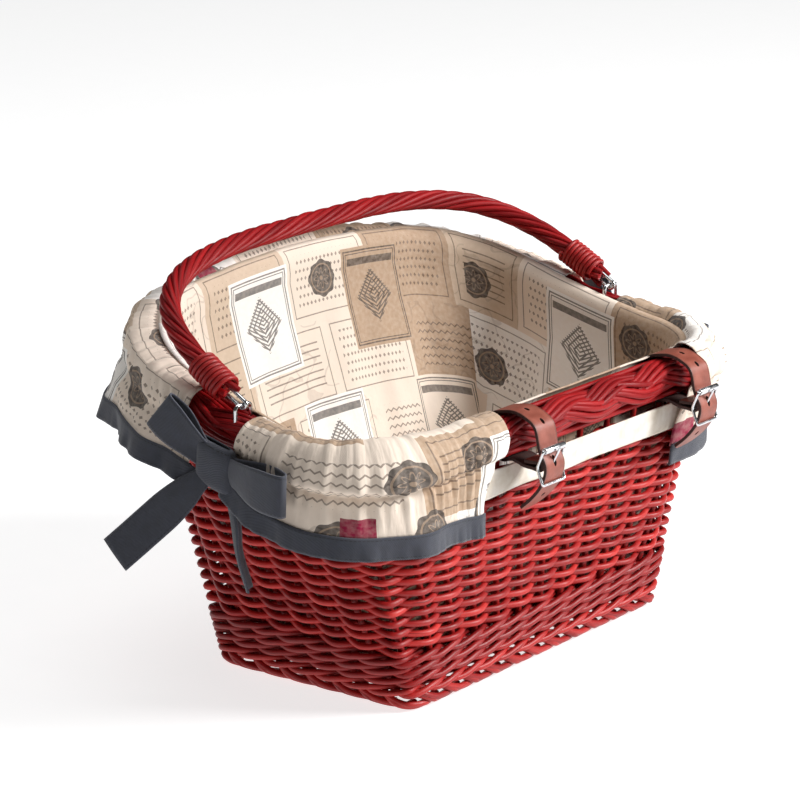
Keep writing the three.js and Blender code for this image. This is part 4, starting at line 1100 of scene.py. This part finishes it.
# Border: a plait of three bundles laid round the outside of a core, with straight rods round its inside
def border_piece():
    build = Build()
    count = PLAIT_WAVES * PLAIT_STEPS
    steps = np.arange(count)
    station = station_of(run_of(0.0) + RIM_LENGTH * steps / count)
    centre, out = rim_at(station)
    ahead = tangents(centre, closed=True)
    lift = unit(np.cross(out, ahead))
    side = np.cross(ahead, lift)

    def around(angle, radius):
        turned = np.broadcast_to(angle + PLAIT_FACING, steps.shape)
        way = side * np.cos(turned)[:, None] + lift * np.sin(turned)[:, None]
        return centre + way * radius[:, None]

    front = np.mod(station - 2.5 + 2, 4) - 2
    sunk = PLAIT_SUNK * smoothstep((1.0 - np.abs(front)) / 0.25)
    for bundle in range(3):
        phase = TURN * PLAIT_WAVES * steps / count + TURN * bundle / 3
        for rod in range(PLAIT_RODS):
            place = rod - (PLAIT_RODS - 1) / 2
            seed = 7 * bundle + rod
            stray = 0.7 * ripple(steps, 130, 80 + seed)
            across = PLAIT_REACH * np.sin(phase) + place * PLAIT_ROD_SPACING + stray
            height = PLAIT_DEPTH * np.sin(2 * phase) - 0.35 * abs(place) + 0.4 * stray
            path = around(across / PLAIT_CURVE, PLAIT_CURVE + height - sunk)
            build.rod(path, PLAIT_ROD_RADIUS + 0.15 * ripple(steps, 90, 90 + seed), closed=True, facing=UP)
    for angle in INNER_ROD_ANGLES:
        build.rod(around(angle, INNER_ROD_REACH - sunk), INNER_ROD_RADIUS, closed=True, facing=UP)
    build.rod(centre, CORE_RADIUS, 12, closed=True, facing=UP)
    dress(build.object("plaited_border", [WILLOW_ROPE]), "rim_border")


border_piece()

# Handle: the bail's centreline lies in one plane that leans towards the front
ARM_WAY = np.array([0.0, math.sin(BAIL_LEAN), math.cos(BAIL_LEAN)])
BAIL_FACE = np.cross(ALONG, ARM_WAY)


def eye_point(sign):
    return np.array([sign * EYE_HALF_SPAN, EYE_Y, EYE_HEIGHT])


def bail_path():
    angle = math.pi * np.arange(161) / 160
    cosine = np.cos(angle)
    across = -np.sign(cosine) * np.abs(cosine) ** (2 / BAIL_POWER)
    rise = BAIL_RISE * np.abs(np.sin(angle)) ** (2 / BAIL_POWER)
    middle = eye_point(0) + ALONG * (across * EYE_HALF_SPAN)[:, None] + ARM_WAY * rise[:, None]
    ends = [eye_point(sign) + ARM_WAY * ROPE_START for sign in (-1, 1)]
    return resample(smooth_path([ends[0], *middle[rise > ROPE_START], ends[1]], 6), BAIL_STEP)


bail = bail_path()
bail_run = lengths_of(bail)
bail_way = tangents(bail)


def around_bail(walked, radius, angle):
    """Points round the rope at distances along it, also just past its ends."""
    inside = np.clip(walked, 0, bail_run[-1])
    ahead = unit(read_table(inside, bail_run, bail_way))
    centre = read_table(inside, bail_run, bail) + ahead * (walked - inside)[:, None]
    side = unit(np.cross(ahead, BAIL_FACE))
    radius = np.broadcast_to(radius, walked.shape)
    return centre + side * (radius * np.cos(angle))[:, None] + BAIL_FACE * (radius * np.sin(angle))[:, None]


def rope_piece():
    build = Build()
    total = bail_run[-1]
    for rod in range(ROPE_RODS):
        ends = rng.uniform(-9, 5, 2)
        walked = np.linspace(ends[0], total - ends[1], 190)
        angle = TURN * (rod / ROPE_RODS + ROPE_TURNS * walked / total)
        pinch = 1 - 0.06 * np.exp(-(((np.minimum(walked, total - walked) - 22) / 16) ** 2))
        reach = ROPE_COIL_RADIUS * pinch + 0.15 * ripple(walked, 160, 300 + rod)
        radius = ROPE_ROD_RADIUS + 0.2 * ripple(walked, 200, 320 + rod)
        build.rod(around_bail(walked, reach, angle), radius, 9)
    walked = np.linspace(3, total - 3, 120)
    build.rod(around_bail(walked, 0.0, 0.0), ROPE_CORE_RADIUS)
    dress(build.object("twisted_handle", [WILLOW_ROPE]), "handle_rope", "handle")


def binding_piece(hand, sign):
    build = Build()
    turns = np.linspace(0, BINDING_TURNS, BINDING_TURNS * 20 + 1)
    walked = BINDING_START + BINDING_PITCH * turns
    if sign > 0:
        walked = bail_run[-1] - walked
    radius = BINDING_SEAT + BINDING_RADIUS + 0.2 * ripple(turns, 2.3, 400 + sign)
    build.rod(around_bail(walked, radius, TURN * turns), BINDING_RADIUS)
    dress(build.object(f"{hand}_handle_binding", [WILLOW]), f"{hand}_binding", "handle")


def hairpin_piece(hand, sign):
    build = Build()
    radius = 2 * WIRE_RADIUS + LINK_PLAY
    eye = eye_point(sign)
    angle = np.radians(np.linspace(-90, 90, 25))[:, None]
    bow = eye - ARM_WAY * radius * np.cos(angle) + BAIL_FACE * radius * np.sin(angle)
    legs = np.linspace(ROPE_START + LINK_SEAT, 2, 14)[:, None]
    lower = eye + ARM_WAY * legs - BAIL_FACE * radius
    upper = eye + ARM_WAY * legs[::-1] + BAIL_FACE * radius
    build.rod(np.concatenate([lower, bow, upper]), WIRE_RADIUS, 14)
    dress(build.object(f"{hand}_hairpin", [CHROME]), f"{hand}_handle_eye", "handle")


def staple_piece(hand, sign):
    build = Build()
    eye = eye_point(sign)
    low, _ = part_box(f"{hand}_rim_staple")
    seat = low[2] / MM - eye[2]
    angle = np.radians(np.linspace(180, 90, 9))[:, None]
    bend = STAPLE_BEND * (ALONG * np.cos(angle) + UP * np.sin(angle))
    turn = np.array([-STAPLE_HALF + STAPLE_BEND, 0.0, -STAPLE_BEND]) + bend
    leg = np.linspace([-STAPLE_HALF, 0.0, seat], [-STAPLE_HALF, 0.0, -STAPLE_BEND - 0.6], 8)
    half = np.concatenate([leg, turn])
    path = np.concatenate([half, (half * np.array([-1, 1, 1]))[::-1]])
    build.rod(eye + path, WIRE_RADIUS, 14)
    dress(build.object(f"{hand}_staple", [CHROME]), f"{hand}_rim_staple")


rope_piece()
for hand, sign in SIGNS.items():
    binding_piece(hand, sign)
    hairpin_piece(hand, sign)
    staple_piece(hand, sign)


# Straps and buckles
def in_strap_plane(across, flat):
    flat = np.asarray(flat, float)
    x = np.broadcast_to(np.asarray(across, float), flat.shape[:-1])
    return np.stack([x, -RIM_HALF_DEPTH - flat[..., 0], RIM_REAR_HEIGHT + flat[..., 1]], axis=-1)


def strap_path():
    half = STRAP_THICK / 2
    round_border = BORDER_RADIUS + 0.6 + half
    fold = BUCKLE_WIRE + STRAP_PLAY + half
    points = [
        CENTRE_BAR + (-14, half + 0.6),
        CENTRE_BAR + (-7, half + 1),
        *arc(CENTRE_BAR, fold, 90, -90, 4),
        CENTRE_BAR + (-7, -half - 1),
        CENTRE_BAR + (-14, -half - 0.7),
        *arc(np.zeros(2), round_border, -62, -265, 8),
        (CENTRE_BAR[0] * 0.3, round_border + 1.6),
        (CENTRE_BAR[0] * 0.6, round_border - 1),
        (CENTRE_BAR[0] * 0.85, round_border - 6.5),
        ROLLER_BAR + (-ROLLER_RADIUS - STRAP_PLAY - STRAP_THICK, -0.5),
        CENTRE_BAR + (fold + STRAP_THICK + STRAP_PLAY, 0),
        BOTTOM_BAR + (-BUCKLE_WIRE - STRAP_PLAY - half, 0),
        BOTTOM_BAR + (-12, -12.5),
        BOTTOM_BAR + (-26, -25),
    ]
    return resample(smooth_path(points, 16), STRAP_CELL)


PRONG_UP = unit(ROLLER_BAR - CENTRE_BAR)
PRONG_OUT = np.array([PRONG_UP[1], -PRONG_UP[0]])
PRONG_TIP = ROLLER_BAR + PRONG_UP * 3 + PRONG_OUT * PRONG_REST


def prong_flat():
    way = PRONG_TIP - CENTRE_BAR
    facing = math.degrees(math.atan2(way[1], way[0]) - math.acos(PRONG_RING / np.linalg.norm(way)))
    ring = arc(CENTRE_BAR, PRONG_RING, facing - 290, facing, 26)
    return np.concatenate([ring, np.linspace(ring[-1], PRONG_TIP, 14)[1:]])


def strap_holes(path, walked):
    """Distances, lengths and widths of the holes: the fold's slot, the prong's hole and the spare ones."""
    shaft = prong_flat()[-13:]
    gaps = np.linalg.norm(path[:, None] - shaft[None], axis=2).min(axis=1)
    gaps[walked < walked[-1] * 0.6] = 1e9
    crossing = walked[int(gaps.argmin())]
    fold = walked[int(np.argmax(path[:, 0] * (walked < 50)))]
    spare = [(crossing + count * HOLE_PITCH, *SPARE_HOLE) for count in SPARE_PLACES]
    return [(fold, *FOLD_SLOT), (crossing, *PRONG_HOLE), *spare]


def cell_corners(table):
    return np.stack([table[:-1, :-1], table[1:, :-1], table[1:, 1:], table[:-1, 1:]], axis=2)


def punch(across, walked, holes):
    """Marks the cells inside the holes and draws the cells round them onto each hole's oval."""
    rows, columns = len(walked), len(across)
    x, d = np.meshgrid(across, walked)
    gone = np.zeros((rows - 1, columns - 1), bool)
    for middle, length, width in holes:
        level = np.hypot(x / (width / 2), (d - middle) / (length / 2))
        inside = cell_corners(level).mean(axis=2) < 1
        touched = np.zeros((rows, columns), bool)
        kept = np.zeros((rows, columns), bool)
        for i, j in ((0, 0), (1, 0), (0, 1), (1, 1)):
            touched[i : rows - 1 + i, j : columns - 1 + j] |= inside
            kept[i : rows - 1 + i, j : columns - 1 + j] |= ~inside
        edge = touched & kept
        scale = np.where(edge, 1 / np.maximum(level, 0.05), 1.0)
        x = np.where(edge, x * scale, x)
        d = np.where(edge, middle + (d - middle) * scale, d)
        gone |= inside
    return x, d, gone


def strap_piece(hand, place):
    build = Build()
    path = strap_path()
    walked = lengths_of(path)
    across = np.linspace(-STRAP_WIDTH / 2, STRAP_WIDTH / 2, STRAP_COLUMNS)
    x, d, gone = punch(across, walked, strap_holes(path, walked))
    left = np.clip((walked[-1] - d) / STRAP_TIP, 0.02, 1)
    x = x * (1 - (1 - left) ** 2.4) ** 0.5
    points = in_strap_plane(x + place, read_table(d, walked, path))
    index = np.arange(x.size).reshape(x.shape)
    uv = np.stack([(x + STRAP_WIDTH / 2) * MM, d * MM], axis=-1)
    build.add(points.reshape(-1, 3), cell_corners(index)[~gone], cell_corners(uv)[~gone])
    piece = build.object(f"{hand}_leather_strap", [LEATHER, FLESH, FLESH])
    thicken(piece, STRAP_THICK, back=1, rim=2)
    soften = piece.modifiers.new("edge", "BEVEL")
    soften.width = STRAP_EDGE * MM
    soften.segments = 2
    soften.limit_method = "ANGLE"
    soften.angle_limit = math.radians(50)
    dress(piece, f"{hand}_strap")


def buckle_frame_piece(hand, place):
    build = Build()
    bars = (ROLLER_BAR, CENTRE_BAR, BOTTOM_BAR)
    walk = [(1, bar) for bar in bars] + [(-1, bar) for bar in reversed(bars)]
    corners = [in_strap_plane(place + side * BUCKLE_HALF_WIDTH, bar) for side, bar in walk]
    loop = rounded_path(corners, BUCKLE_CORNER, 7)
    build.rod(loop, BUCKLE_WIRE, 12, closed=True, facing=unit(BUCKLE_FACING))
    ends = [in_strap_plane(place + side * BUCKLE_HALF_WIDTH, CENTRE_BAR) for side in (-1, 1)]
    build.rod(np.linspace(ends[0], ends[1], 6), BUCKLE_WIRE * 0.95, 12)
    dress(build.object(f"{hand}_buckle_wire", [CHROME]), f"{hand}_buckle_frame")


def roller_piece(hand, place):
    build = Build()
    profile = [
        (ROLLER_BORE, ROLLER_HALF),
        (ROLLER_RADIUS - 0.35, ROLLER_HALF),
        (ROLLER_RADIUS - 0.1, ROLLER_HALF - 0.12),
        (ROLLER_RADIUS, ROLLER_HALF - 0.4),
    ]
    profile = profile + [(radius, -x) for radius, x in reversed(profile)]
    profile = np.array(profile + profile[:1])
    angle = TURN * np.arange(ROLLER_SIDES) / ROLLER_SIDES
    seam = 1 - 0.12 * np.exp(-((np.arange(ROLLER_SIDES) - 8) ** 2) / 0.5)
    radius = np.where(profile[:, :1] > ROLLER_BORE + 0.01, profile[:, :1] * seam[None], profile[:, :1])
    flat = ROLLER_BAR + np.stack([radius * np.cos(angle), radius * np.sin(angle)], axis=-1)
    points = in_strap_plane(place + profile[:, 1:], flat)
    uv = np.zeros((len(profile), ROLLER_SIDES, 2))
    build.grid(points, uv, uv, closed=True)
    dress(build.object(f"{hand}_roller_tube", [CHROME]), f"{hand}_buckle_roller", f"{hand}_roller")


def prong_piece(hand, place):
    build = Build()
    path = in_strap_plane(place, prong_flat())
    radius = np.full(len(path), PRONG_RADIUS)
    radius[-len(PRONG_TAPER) :] = PRONG_RADIUS * PRONG_TAPER
    build.rod(path, radius, 12, facing=ALONG)
    dress(build.object(f"{hand}_prong_wire", [CHROME]), f"{hand}_buckle_prong", f"{hand}_prong")


for hand, place in STRAP_PLACES.items():
    strap_piece(hand, place)
    buckle_frame_piece(hand, place)
    roller_piece(hand, place)
    prong_piece(hand, place)

# Cloth over the border: a puffed roll drawn in by elastic, then a flared hem.
# Each skirt: its ends along the rim, which of them are tied, the hem's drop and reach at its ends, how far
# each end's crest and hem are drawn along the rim, how full the roll is at its ends and its middle,
# whether the tied hem runs straight to its knot, and the elastic's share of its full grip
SKIRTS = {
    "front": {
        "run": (rim_station(1, 1, GAP_FRONT_Y), rim_station(3, 1, GAP_FRONT_Y)),
        "tied": (1, 1),
        "drop": (SKIRT_DROP, SKIRT_DROP),
        "reach": (HEM_REACH + 5, HEM_REACH + 5),
        "drawn": ((0, -12), (0, 12)),
        "full": (0.0, 0.9),
        "taut": True,
        "pinched": 0.15,
    },
    "rear_left": {
        "run": (rim_station(3, 1, GAP_REAR_Y), 4 + rim_station(0, 0, REAR_OPEN_LEFT)),
        "tied": (1, 0),
        "drop": (BOW_SIDE_DROP, OPEN_LEFT_DROP),
        "reach": (HEM_REACH, HEM_REACH - 4),
        "drawn": ((0, -12), (16, -15)),
        "full": (0.9, 1.5),
        "taut": False,
        "pinched": 1.0,
    },
    "rear_right": {
        "run": (rim_station(0, 0, REAR_OPEN_RIGHT), rim_station(1, 1, GAP_REAR_Y)),
        "tied": (0, 1),
        "drop": (OPEN_RIGHT_DROP, SKIRT_DROP),
        "reach": (OPEN_RIGHT_REACH, HEM_REACH - 4),
        "drawn": ((-2, -24), (0, 12)),
        "full": (0.8, 0.8),
        "taut": False,
        "pinched": 1.0,
    },
}


def tied_share(run, total, ends, reach):
    """How near each place is to a tied end, from 0 to 1."""
    first = np.maximum(0, 1 - run / reach) * ends[0]
    last = np.maximum(0, 1 - (total - run) / reach) * ends[1]
    return np.maximum(first, last)


def skirt_keys(world_run, tied, drop, hem, full, pinched):
    """Reach and height of the profile's key points at each place along the rim."""
    gather = ripple(world_run, GATHER_PITCH, 500)
    swell = ripple(world_run, SWELL_PITCH, SWELL_SEED)
    fold = (1 - tied**2) * ripple(world_run, HEM_FOLD_PITCH, 502)
    pleat = ripple(world_run, PLEAT_PITCH, 503)
    puff = PUFF * (1 - tied) * full
    snug = SNUG * (1 - full) * (1 - tied)
    elastic = ELASTIC_DROP + (ELASTIC_PINCHED - ELASTIC_DROP) * pinched
    below = drop - elastic
    waist = WAIST + (hem - 6 - WAIST) * (1 - pinched)
    flare = hem - waist
    tight = (0.25 + 0.75 * pinched) * gather
    neck = 18.4 + 0.75 * puff * pinched + 0.9 * swell + 2.2 * tight + 1.5 * pleat - snug
    keys = [
        (-8.7, 16.0 + 0.2 * swell - 0.6 * snug),
        (-1.0, 17.8 + 0.95 * puff + 0.7 * swell + 0.5 * gather + 0.5 * pleat - snug),
        (10.5, 15.6 + 0.9 * puff + 0.9 * swell + 0.9 * gather + 1.0 * pleat - snug),
        (17.6 + 0.5 * puff + 1.1 * swell + 1.3 * gather + 1.3 * pleat - snug, 9.0),
        (19.6 + 0.6 * puff + 1.3 * swell + 1.9 * gather + 1.6 * pleat - snug, 5 - 0.375 * elastic),
        (neck, 2.0 - 0.71 * elastic),
        (waist + 1.7 * tight, -elastic + 0.7 * swell),
        (waist + 1.0 + 0.16 * flare + 2.4 * tight + 0.8 * pleat, -elastic - 0.2 * below),
        (waist + 0.62 * flare + 1.2 * tight + 1.3 * pleat + 1.4 * fold, -elastic - 0.6 * below),
        (hem + HEM_FOLD * hem / HEM_REACH * fold, -drop),
    ]
    columns = [np.broadcast_arrays(reach, height, world_run)[:2] for reach, height in keys]
    return np.stack([np.stack(column, axis=-1) for column in columns], axis=1)


def skirt_surface(name):
    """Points of the skirt, its profile, its columns' runs along the rim and each point's station."""
    skirt = SKIRTS[name]
    first, last = (run_of(station) for station in skirt["run"])
    total = last - first
    run = np.linspace(0, total, int(total / CLOTH_CELL))
    share = run / total

    def between(ends):
        return ends[0] + (ends[1] - ends[0]) * share

    tied = tied_share(run, total, skirt["tied"], HEM_LIFT_RUN)
    taut = 1 - (1 - tied_share(run, total, skirt["tied"], TAUT_RUN)) ** 2
    drop = between(skirt["drop"]) - HEM_LIFT * (taut if skirt["taut"] else tied**2)
    ends, middle = skirt["full"]
    full = ends + (middle - ends) * np.sin(math.pi * share) ** 6
    keys = skirt_keys(first + run, tied, drop, between(skirt["reach"]), full, skirt["pinched"])
    profile = spline_rows(keys, SKIRT_ROWS)
    depth = smoothstep((DRAWN_TOP - profile[..., 1]) / DRAWN_DEPTH)
    pull = np.zeros_like(depth)
    for (crest_pull, hem_pull), away in zip(skirt["drawn"], (run, total - run)):
        nearness = np.maximum(0, 1 - away / DRAWN_RUN) ** 2
        pull = pull + (crest_pull + (hem_pull - crest_pull) * depth) * nearness[:, None]
    station = station_of((first + run)[:, None] + pull)
    centre, out = rim_at(station)
    points = centre + out * profile[..., :1] + UP * profile[..., 1:]
    return points, profile, first + run, station


def skirt_piece(name):
    build = Build()
    points, profile, world_run, _ = skirt_surface(name)
    v = lengths_of(profile.mean(axis=0))
    build.sheet(points.transpose(1, 0, 2), -v * MM, world_run * MM, swap=True)
    piece = build.object(f"{name}_printed_skirt", [SKIRT_COTTON])
    thicken(piece, CLOTH)
    dress(piece, f"{name}_skirt")
    length = (world_run[-1] - world_run[0]) * MM


def knot_centre(sign):
    centre, _ = rim_at(np.array(rim_station(3 if sign < 0 else 1, 1, KNOT_Y)))
    return centre + ALONG * sign * KNOT_REACH + UP * (KNOT_ABOVE_HEM + HEM_LIFT - SKIRT_DROP)


# The knot that each end of a hem is tied to: its side, and whether the hem comes from the front or the rear
TIED_TO = {"front": ((1, 1), (-1, 1)), "rear_left": ((-1, -1), None), "rear_right": (None, (1, -1))}


def trim_piece(name):
    build = Build()
    points, _, _, station = skirt_surface(name)
    hem = points[:, -1]
    out = rim_at(station[:, -1])[1]
    slope = unit(hem - points[:, -4])
    top = hem + out * (CLOTH / 2 + TRIM_THICK / 2 + 0.1) - slope * 1.2
    steps = np.linspace(0, 1, LEAD_STEPS + 1)[:, None]
    for end, knot in enumerate(TIED_TO[name]):
        if knot is None:
            continue
        sign, towards = knot
        lead = knot_centre(sign) + FORWARD * towards * LEAD_FORWARD + ALONG * sign * LEAD_OUT - UP * LEAD_DOWN
        if end == 0:
            top = np.concatenate([lead + (top[0] - lead) * steps[:-1], top])
            slope = np.concatenate([np.repeat(slope[:1], LEAD_STEPS, axis=0), slope])
        else:
            top = np.concatenate([top, top[-1] + (lead - top[-1]) * steps[1:]])
            slope = np.concatenate([slope, np.repeat(slope[-1:], LEAD_STEPS, axis=0)])
    down = unit(slope * 0.55 - UP * 0.6)
    drop = np.linspace(0, TRIM_HEIGHT, 8)
    walked = lengths_of(top)
    build.sheet(top[None] + down[None] * drop[:, None, None], drop * MM, walked * MM)
    piece = build.object(f"{name}_hem_tape", [TRIM_TAPE])
    thicken(piece, TRIM_THICK)
    dress(piece, f"{name}_trim")


for name in SKIRTS:
    skirt_piece(name)
    trim_piece(name)


# Plain band under the border, across the strap opening
def band_piece():
    build = Build()
    low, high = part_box("rear_band")
    across = np.linspace(low[0] / MM, high[0] / MM, 150)
    drop = np.linspace(0, BAND_HEIGHT, 16)
    top = -BORDER_RADIUS - BAND_GAP
    lean = (RIM_HALF_DEPTH - BASE_HALF_WIDTH + BASE_SHIFT) / (RIM_REAR_HEIGHT - FOOT_MIDDLE)
    x, d = np.meshgrid(across, drop)
    wave = 0.5 + 0.5 * ripple(across, 52, 610)
    bulge = (0.4 + 1.6 * wave)[None] * np.sin(math.pi * d / BAND_HEIGHT) * 0.8
    reach = BAND_REACH + lean * (top - d) + bulge
    sag = 1.2 * ripple(across, 120, 611)
    points = in_strap_plane(x, np.stack([reach, top - d + sag[None] * d / BAND_HEIGHT], axis=-1))
    build.sheet(points, drop * MM, across * MM, swap=True)
    piece = build.object("rear_cloth_band", [BAND_COTTON])
    thicken(piece, CLOTH)
    dress(piece, "rear_band")


band_piece()


# Liner bag: four sewn wall panels and a floor, slack inside the weave
def liner_piece():
    build = Build()
    station = 4 * (np.arange(LINER_COLUMNS) + 0.5) / LINER_COLUMNS
    centre, out = rim_at(station)
    base_flat, base_out = base_outline(station)
    foot = flat_to_space(base_flat, FOOT_MIDDLE)
    base_out = flat_to_space(base_out, 0.0)
    run = run_of(station)
    swell = ripple(run, SWELL_PITCH, SWELL_SEED)
    slack = 1.6 * ripple(run, 96, 620) + 1.2 * ripple(run, 41, 621)
    rows = []
    for reach, height in LINER_TOP:
        rows.append(centre + out * reach + UP * (height + 0.2 * swell * (height > 12))[:, None])
    for level in LINER_LEVELS:
        height = LINER_FLOOR + level * (centre[:, 2] - BORDER_RADIUS - LINER_FLOOR)
        share = ((height - FOOT_MIDDLE) / (centre[:, 2] - FOOT_MIDDLE))[:, None]
        middle = foot + (centre - foot) * share
        way = unit(base_out * (1 - share) + out * share)
        drift = 1.4 * ripple(run + 60 * level, 70, 622)
        inset = LINER_INSET + math.sin(math.pi * level) * (1.5 + slack + drift) * 0.9
        rows.append(middle - way * inset[:, None])
    wall_rows = len(rows)
    lowest = rows[-1]
    hub = np.array([0.0, BASE_SHIFT, LINER_FLOOR])
    for share in LINER_RINGS:
        ring = hub + (lowest - hub) * share
        ring[:, 2] = LINER_FLOOR + 0.6 + (lowest[:, 2] - LINER_FLOOR) * max(0.0, (share - 0.88) / 0.12) ** 2
        rows.append(ring)
    points = np.array(rows)
    steps = np.linalg.norm(np.diff(points, axis=0), axis=2)
    v = np.concatenate([np.zeros((1, LINER_COLUMNS)), np.cumsum(steps, axis=0)])
    edge_step = np.linalg.norm(np.roll(points, -1, axis=1) - points, axis=2)
    u = np.zeros_like(v)
    for k in range(4):
        own = np.nonzero(station.astype(int) == k)[0]
        u[:, own[1:]] = np.cumsum(edge_step[:, own[:-1]], axis=1)
        u[:, own] = u[:, own] - u[:, own[-1:]] / 2 + LINER_PANEL_SHIFT * k
    uv = np.stack([u, v], axis=-1) * MM
    following = np.stack([u + edge_step, np.roll(v, -1, axis=1)], axis=-1) * MM
    build.grid(points[:wall_rows], uv[:wall_rows], following[:wall_rows], closed=True)
    floor_points = points[wall_rows - 1 :]
    floor_uv = floor_points[..., :2] * MM + LINER_FLOOR_SHIFT
    build.grid(floor_points, floor_uv, np.roll(floor_uv, -1, axis=1), closed=True)
    piece = build.object("cotton_liner", [COTTON])
    thicken(piece, CLOTH)
    dress(piece, "liner_bag")


liner_piece()


# Bows: a wrapped knot, two loops and two tails of tape
def from_knot(sign, local):
    """Points given about the knot, on one side of the basket."""
    return knot_centre(sign) + local * np.array([sign, 1.0, 1.0])


def bow_finish(build, hand, name):
    piece = build.object(f"{hand}_tape_{name}", [RIBBON])
    thicken(piece, RIBBON_THICK)
    dress(piece, f"{hand}_bow_{name}")


def ribbon_piece(hand, sign, name, path, width, sideways, cup):
    """A strip of tape along a path, cupped across its width."""
    build = Build()
    path = from_knot(sign, path)
    sideways = sideways * np.array([sign, 1.0, 1.0])
    ahead = tangents(path)
    side = unit(sideways - ahead * dot(ahead, sideways))
    face = np.cross(ahead, side)
    across = np.linspace(-0.5, 0.5, 13)
    bend = (4 * across**2)[:, None, None] * cup[None, :, None] * face[None]
    grid = path[None] + side[None] * (across[:, None] * width[None])[..., None] + bend
    build.sheet(grid, (across + 0.5) * RIBBON_WIDTH * MM, lengths_of(path) * MM)
    bow_finish(build, hand, name)


def knot_piece(hand, sign):
    """The tape wrapped once round on the slant, pinched at its edges."""
    build = Build()
    angle = np.linspace(0, TURN, KNOT_SIDES + 1)[:-1]
    tall = np.linspace(-1, 1, 29)
    oval = np.stack([np.cos(angle), np.sin(angle)], axis=-1)
    oval = np.sign(oval) * np.abs(oval) ** 0.7
    pinch = np.sqrt(1 - 0.9 * np.abs(tall) ** 6)[:, None]
    crease = 0.5 * np.sin(4 * angle[None] + 2.2 * tall[:, None]) * (1 - tall[:, None] ** 2)
    half = KNOT_HALF - RIBBON_THICK / 2
    outwards = half[0] * pinch * oval[:, 0] + crease
    forwards = half[1] * (0.72 + 0.28 * pinch) * oval[:, 1] + crease
    slant = 0.22 * half[2] * oval[:, 1]
    upwards = (0.8 * half[2] * tall)[:, None] + slant * (0.4 + 0.6 * pinch)
    points = from_knot(sign, np.stack([outwards, forwards, upwards], axis=-1))
    around = np.arange(KNOT_SIDES + 1) / KNOT_SIDES * KNOT_GIRTH
    build.sheet(points, (tall + 1) / 2 * RIBBON_WIDTH * MM, around, closed=True)
    bow_finish(build, hand, "knot")


def loop_piece(hand, sign, end):
    way, length, open_depth = BOW_LOOPS[end]
    ahead = unit(np.array(way, float))
    root = ahead * float(1 / np.linalg.norm(ahead / KNOT_HALF)) * 0.5
    broad = unit(UP - ahead * ahead[2])
    depth = np.cross(broad, ahead)
    theta = np.linspace(-0.95 * math.pi, 0.95 * math.pi, 81)
    face = np.sign(np.sin(theta))
    forth = length / 2 * (1 + np.cos(theta))
    thick = open_depth / 2 * face * np.abs(np.sin(theta)) ** 0.7
    thick = thick * (0.25 + 0.75 * smoothstep(forth / length * 1.5))
    path = root + ahead * forth[:, None] + depth * thick[:, None]
    flare = smoothstep(forth / length * 1.25)
    width = RIBBON_WIDTH * (0.66 + 0.42 * flare)
    ribbon_piece(hand, sign, f"loop_{end}", path, width, broad, 2.2 * face * (1 - flare))


def tail_piece(hand, sign, end):
    points, sideways, cup, narrow, spread = BOW_TAILS[end]
    path = smooth_path(points, 12)
    share = np.linspace(0, 1, len(path))
    width = RIBBON_WIDTH * spread * (narrow + (1 - narrow) * smoothstep(share * 1.7))
    curl = cup * (1 - 0.5 * share) + 0.9 * ripple(share * 100, 70, 700 + sign)
    ribbon_piece(hand, sign, f"tail_{end}", path, width, np.array(sideways, float), curl)


for hand, sign in SIGNS.items():
    knot_piece(hand, sign)
    for end in BOW_LOOPS:
        loop_piece(hand, sign, end)
    for end in BOW_TAILS:
        tail_piece(hand, sign, end)

# Floor, light and camera
floor_mesh = bpy.data.meshes.new("floor")
floor_corners = [(x * FLOOR_HALF, y * FLOOR_HALF, 0) for x, y in ((-1, -1), (1, -1), (1, 1), (-1, 1))]
floor_mesh.from_pydata(floor_corners, [], [(0, 1, 2, 3)])
floor_mesh.materials.append(floor_paint("pale_floor"))
floor = bpy.data.objects.new("floor", floor_mesh)
floor.location.z = -FLOOR_DROP
bpy.context.scene.collection.objects.link(floor)


def softbox(name, place, aim, size, power):
    light = bpy.data.lights.new(name, "AREA")
    light.shape = "DISK"
    light.size = size
    light.energy = power
    lamp = bpy.data.objects.new(name, light)
    lamp.location = place
    lamp.rotation_euler = (Vector(aim) - Vector(place)).to_track_quat("-Z", "Y").to_euler()
    bpy.context.scene.collection.objects.link(lamp)


softbox("key_light", *KEY_LIGHT)
softbox("top_light", *TOP_LIGHT)

world = bpy.data.worlds.new("studio")
world.use_nodes = True
background = world.node_tree.nodes["Background"]
background.inputs["Color"].default_value = (1.0, 1.0, 1.0, 1.0)
background.inputs["Strength"].default_value = WORLD_STRENGTH
bpy.context.scene.world = world
bpy.context.scene.view_settings.view_transform = "Standard"

level = math.cos(CAMERA_ELEVATION)
back = Vector((math.sin(CAMERA_AZIMUTH) * level, -math.cos(CAMERA_AZIMUTH) * level, 0.0))
back.z = math.sin(CAMERA_ELEVATION)
right = Vector((math.cos(CAMERA_AZIMUTH), math.sin(CAMERA_AZIMUTH), 0.0))
rise = back.cross(right)
target = Vector((0.0, float(SHIFT[1]) * MM, CAMERA_TARGET_HEIGHT))
eye = target + back * CAMERA_DISTANCE
aim = target + rise * AIM_UP + right * AIM_RIGHT
camera_data = bpy.data.cameras.new("camera")
camera_data.lens = CAMERA_LENS
camera_data.sensor_width = CAMERA_SENSOR
camera = bpy.data.objects.new("camera", camera_data)
camera.location = eye
camera.rotation_euler = (aim - eye).to_track_quat("-Z", "Y").to_euler()
bpy.context.scene.collection.objects.link(camera)
bpy.context.scene.camera = camera
